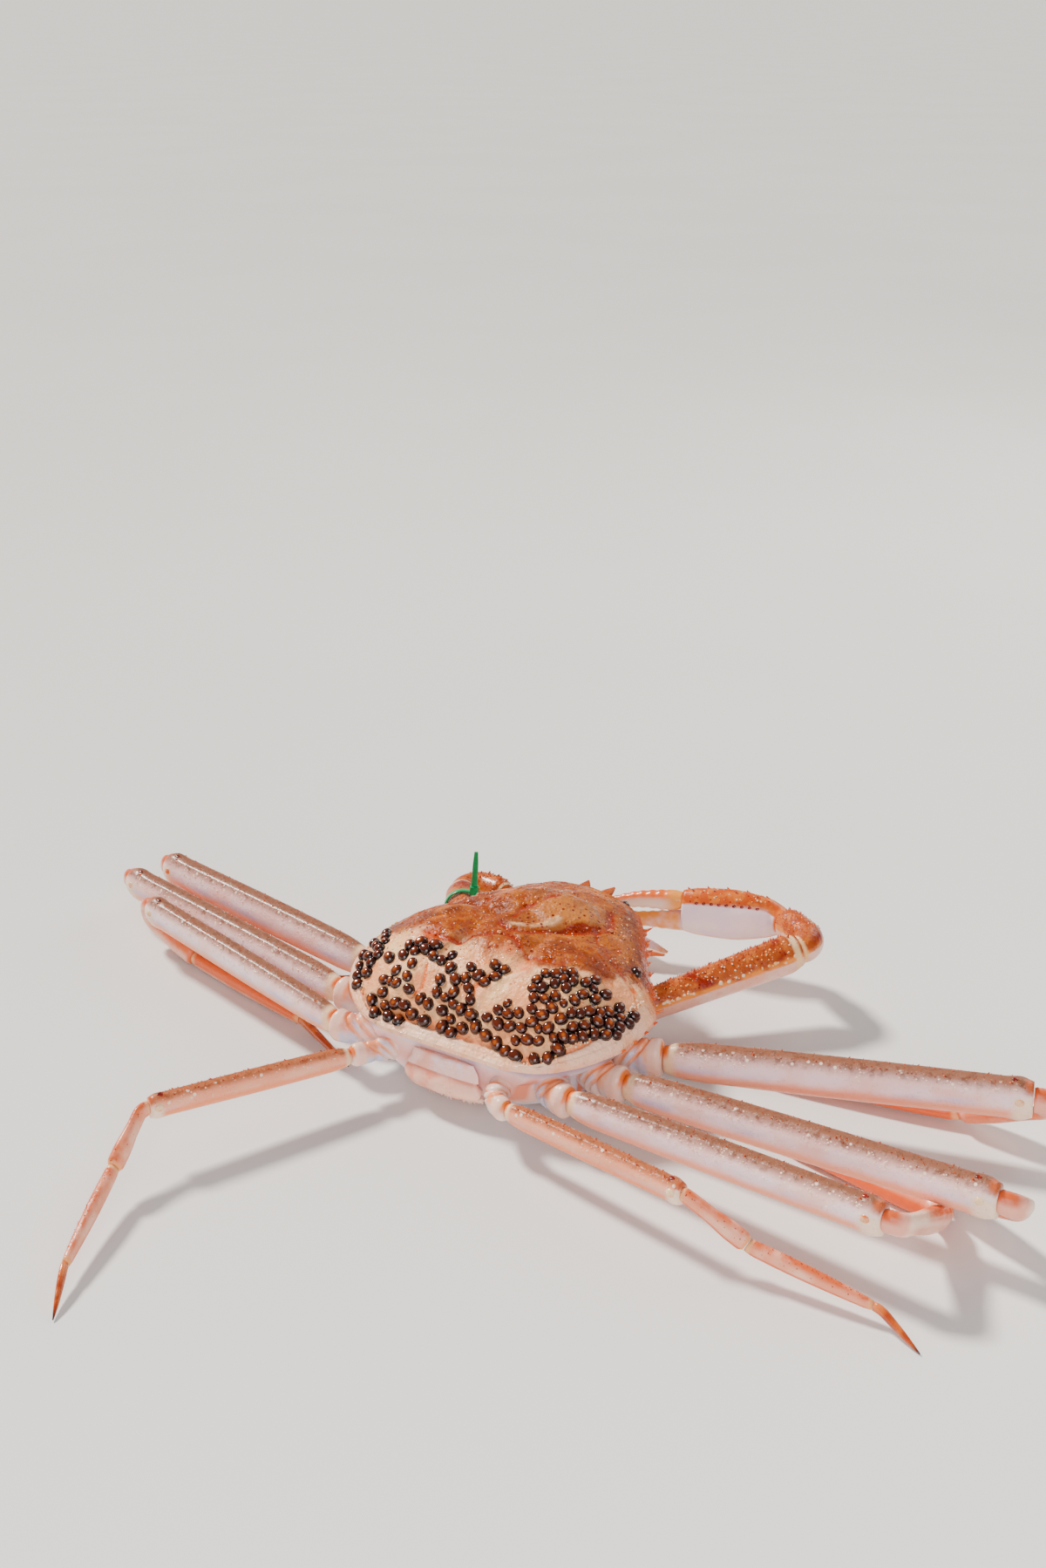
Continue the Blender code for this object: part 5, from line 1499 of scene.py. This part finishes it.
def build_palm(prefix, side, point, old_way, palm_way, finger_way, small):
    """Palm with its fixed finger, and the moving finger."""
    depth, breadth = PALM_HALF_DEPTH, PALM_HALF_BREADTH
    upward = UP if side == "right" else palm_way.cross(UP).normalized()
    profile = ([0.0, 0.06, 0.22, 0.55, 0.85, 1.0],
               [0.0040, 0.0048, 0.72 * breadth, breadth, 0.92 * breadth, 0.76 * breadth],
               [0.0044, 0.0054, 0.80 * depth, depth, 0.94 * depth, 0.82 * depth])
    stations = limb_stations(point, old_way, palm_way, SOFT_TURN, PALM_LENGTH, profile,
                             upward, 0.0010)
    palm = Build()
    tube(palm, stations, tone=0.0, shape=PALM_RIDGES)
    spine_rows(small, side, stations, CLAW_SPINES["palm"])
    sprinkle(small, "granule", side, stations, (8, 30, -30), 10, 60, 0.00030, 37, first=0.2)
    for step in range(9):
        share = 0.30 + 0.56 * step / 8
        spot, outward, along = on_surface(stations, share, -55 * SIGN[side])
        mound(small["dot"], spot + outward * 0.0001, outward, along, 0.00080, 0.00065,
              0.00035, 12, 4)
    point, way, upright = stations[-1][:3]
    lower = point - upright * (depth * 0.42)
    upper = point + upright * (depth * 0.40)
    tube(palm, finger_stations(lower, finger_way, finger_way, upright, LOWER_FINGER), 40,
         1.0)
    palm.piece(prefix + "palm_shell", PAINT["palm"], prefix + "palm", slot="claw_palm")
    stations = finger_stations(upper + way * GAP, finger_way, way, upright, UPPER_FINGER)
    tube_piece(prefix + "finger_shell", "finger", stations, prefix + "dactyl",
               slot="claw_finger", sides=40)


def finger_stations(start, finger_way, first_way, upright, rows):
    """Stations of a finger with small teeth."""
    shares, breadths, depths, lifts = rows

    def ring(share):
        bent = min(1.0, (share - shares[0]) / 0.10)
        teeth = 1 + 0.05 * math.sin(share * 60) * (share > 0.15)
        return (start + finger_way * (FINGER_LENGTH * share)
                + upright * (PALM_HALF_DEPTH * eased(share, shares, lifts)),
                first_way.lerp(finger_way, bent).normalized(), upright,
                PALM_HALF_BREADTH * eased(share, shares, breadths),
                PALM_HALF_DEPTH * eased(share, shares, depths) * teeth)

    return stations_along(60, ring, shares[0])


# Head pieces and tag

# Rings of an eye with its stalk, and the ring where the ball starts
EYE_STEPS, EYE_CUT = 40, 20

def build_head(side):
    """Eye, antenna and mouthpart of one side."""
    sign = SIGN[side]
    front = place_to_y(FRONT_PLACE)
    eye_way = Vector((sign * 0.50, 0.86, 0.10)).normalized()
    eye_start = Vector((sign * 0.0128, front + GAP, rim_at(front) + RIM_THICK + 0.0012))
    feeler_way = Vector((sign * 0.20, 0.97, 0.02)).normalized()
    feeler_start = Vector((sign * 0.0105, front + GAP, rim_at(front) - 0.0030))
    heights, breadths, depths = MOUTHPART
    shares = [(height - heights[0]) / (heights[-1] - heights[0]) for height in heights]

    def eye(share):
        radius = eased(share, [0.0, 0.28, 0.45, 0.68, 0.90, 1.0],
                       [0.0015, 0.0014, 0.0018, 0.0022, 0.0018, 0.0007])
        along = AHEAD.lerp(eye_way, min(1.0, share / 0.28)).normalized()
        return eye_start + eye_way * (0.0064 * share), along, UP, radius, radius

    def feeler(share):
        radius = eased(share, [0.0, 0.28, 0.33, 0.64, 1.0],
                       [0.0014, 0.0012, 0.0008, 0.0006, 0.0003])
        radius *= 1 + 0.10 * math.cos(share * 70)
        return feeler_start + feeler_way * (0.0140 * share), feeler_way, UP, radius, radius

    def mouthpart(share):
        groove = 1 - 0.10 * bell(share, 0.55, 0.03)
        height = eased(share, shares, heights)
        return (Vector((sign * 0.0050, front + GAP + 0.0026, height)), UP, AHEAD,
                eased(share, shares, breadths) * groove,
                eased(share, shares, depths) * groove)

    stations = stations_along(EYE_STEPS, eye)
    tube_piece("eye_%s_ball" % side, "eye", stations[EYE_CUT:], slot="eye", sides=32)
    tube_piece("eye_%s_stalk" % side, "stalk", stations[:EYE_CUT + 1], "eye_" + side,
               slot="eye", sides=32)
    tube_piece("antenna_%s_shell" % side, "stalk", stations_along(70, feeler),
               "antenna_" + side, slot="shell", sides=20)
    tube_piece("maxilliped_%s_shell" % side, "mouth", stations_along(50, mouthpart),
               "maxilliped_" + side, slot="mouthpart", sides=40)


def build_tag(root, along):
    """Band round the claw arm, with a lock and a tail that stands up from it."""
    places, breadths, depths = CLAW_MERUS_PROFILE
    centre = root + along * (CLAW_MERUS_LENGTH * TAG_PLACE)
    edge = TAG_PLACE + TAG_HALF_WIDTH / CLAW_MERUS_LENGTH
    breadth = float(np.interp(edge, places, breadths)) + 2 * GAP
    depth = float(np.interp(edge, places, depths)) + 2 * GAP
    across = along.cross(UP).normalized()
    upright = across.cross(along).normalized()
    sides = 72
    corners = [(-1.0, 0.12), (-1.0, 0.88), (-0.86, 1.0), (0.86, 1.0), (1.0, 0.88),
               (1.0, 0.12), (0.86, 0.0), (-0.86, 0.0)]
    points = []
    for offset, extra in corners:
        for index in range(sides):
            angle = 2 * math.pi * (index + 0.5) / sides
            points.append(centre + along * (offset * TAG_HALF_WIDTH)
                          + across * ((breadth + TAG_THICK * extra) * math.sin(angle))
                          - upright * ((depth + TAG_THICK * extra) * math.cos(angle)))
    faces = grid_faces(len(corners), sides)
    last = (len(corners) - 1) * sides
    for index in range(sides):
        following = (index + 1) % sides
        faces.append((last + index, last + following, following, index))
    build = Build()
    build.add(points, faces, [(0, 0, 0, 0)] * len(points))
    foot = centre + across * (breadth * 0.62) + UP * (depth * 0.80)
    way = Vector((0.05, 0.04, 1.0)).normalized()
    facing = way.cross(across).normalized()

    def slab(sines, cosines, share):
        return 1.0 / (np.abs(sines) ** 8 + np.abs(cosines) ** 8) ** (1 / 8), 0.5

    def tail(share):
        height = 0.0015 + (TAG_TAIL - 0.0015) * share
        notch = 1 + 0.03 * math.sin(share * 120)
        return (foot + way * height, way, facing,
                eased(share, [0, 0.6, 1.0], [0.0012, 0.0012, 0.0008]), 0.00042 * notch)

    lock = [(foot + way * (0.0008 + 0.0034 * step / 8), way, facing, 0.0018, 0.0014,
             step / 8) for step in range(9)]
    tube(build, lock, 32, shape=slab)
    tube(build, stations_along(40, tail), 24, shape=slab)
    build.piece("tag_band", PAINT["tag"], "tag_strap", slot="tag", autosmooth=40)


# Stage


def placed(name, data, location, rotation):
    """A new object of the scene."""
    item = bpy.data.objects.new(name, data)
    item.location = location
    item.rotation_euler = rotation
    bpy.context.scene.collection.objects.link(item)
    return item


def build_stage():
    size = FLOOR_HALF
    mesh = bpy.data.meshes.new("floor")
    mesh.from_pydata([(-size, -size, 0), (size, -size, 0), (size, size, 0),
                      (-size, size, 0)], [], [(0, 1, 2, 3)])
    paint = Paint("floor_pale", (0.82, 0.81, 0.795), 0.60, specular=0.1)
    paint.layer((0.80, 0.79, 0.775), paint.noise(3, 0.4, 0.6))
    mesh.materials.append(paint.done())
    floor = placed("floor", mesh, (0, 0, 0), (0, 0, 0))
    for name, kind, place, width, power, colour in LIGHTS:
        lamp = bpy.data.lights.new(name, kind)
        setattr(lamp, "angle" if kind == "SUN" else "size", width)
        lamp.energy = power
        lamp.color = colour
        aim = Vector(place) - Vector((0, 0, 0.02))
        placed(name, lamp, SHIFT + Vector(place), aim.to_track_quat("Z", "Y").to_euler())
    world = bpy.data.worlds.new("studio")
    world.use_nodes = True
    shade = world.node_tree.nodes["Background"]
    shade.inputs["Color"].default_value = (0.92, 0.94, 0.97, 1.0)
    shade.inputs["Strength"].default_value = 0.26
    bpy.context.scene.world = world


def build_camera():
    lens = bpy.data.cameras.new("camera")
    lens.sensor_fit = "VERTICAL"
    lens.sensor_height = SENSOR_HEIGHT
    lens.sensor_width = SENSOR_HEIGHT
    lens.lens = CAMERA_LENS
    lens.clip_start = 0.01
    lens.clip_end = 900.0
    turn = (math.radians(90 - CAMERA_PITCH), 0, math.radians(CAMERA_TURN))
    bpy.context.scene.camera = placed("camera", lens, SHIFT + Vector(CAMERA_PLACE), turn)


def main():
    build_camera()
    build_carapace()
    build_warts(build_margin())
    build_cocoons()
    build_underside()
    build_abdomen()
    small = {kind: Build() for kind in SMALL_PIECES}
    for side in SIGN:
        for index in range(4):
            build_leg(side, index, small)
        build_claw(side, small)
    for kind, (name, slot) in SMALL_PIECES.items():
        small[kind].piece(name, PAINT[kind], slot=slot)
    for side in SIGN:
        build_head(side)
    build_stage()
    bpy.context.view_layer.update()


main()
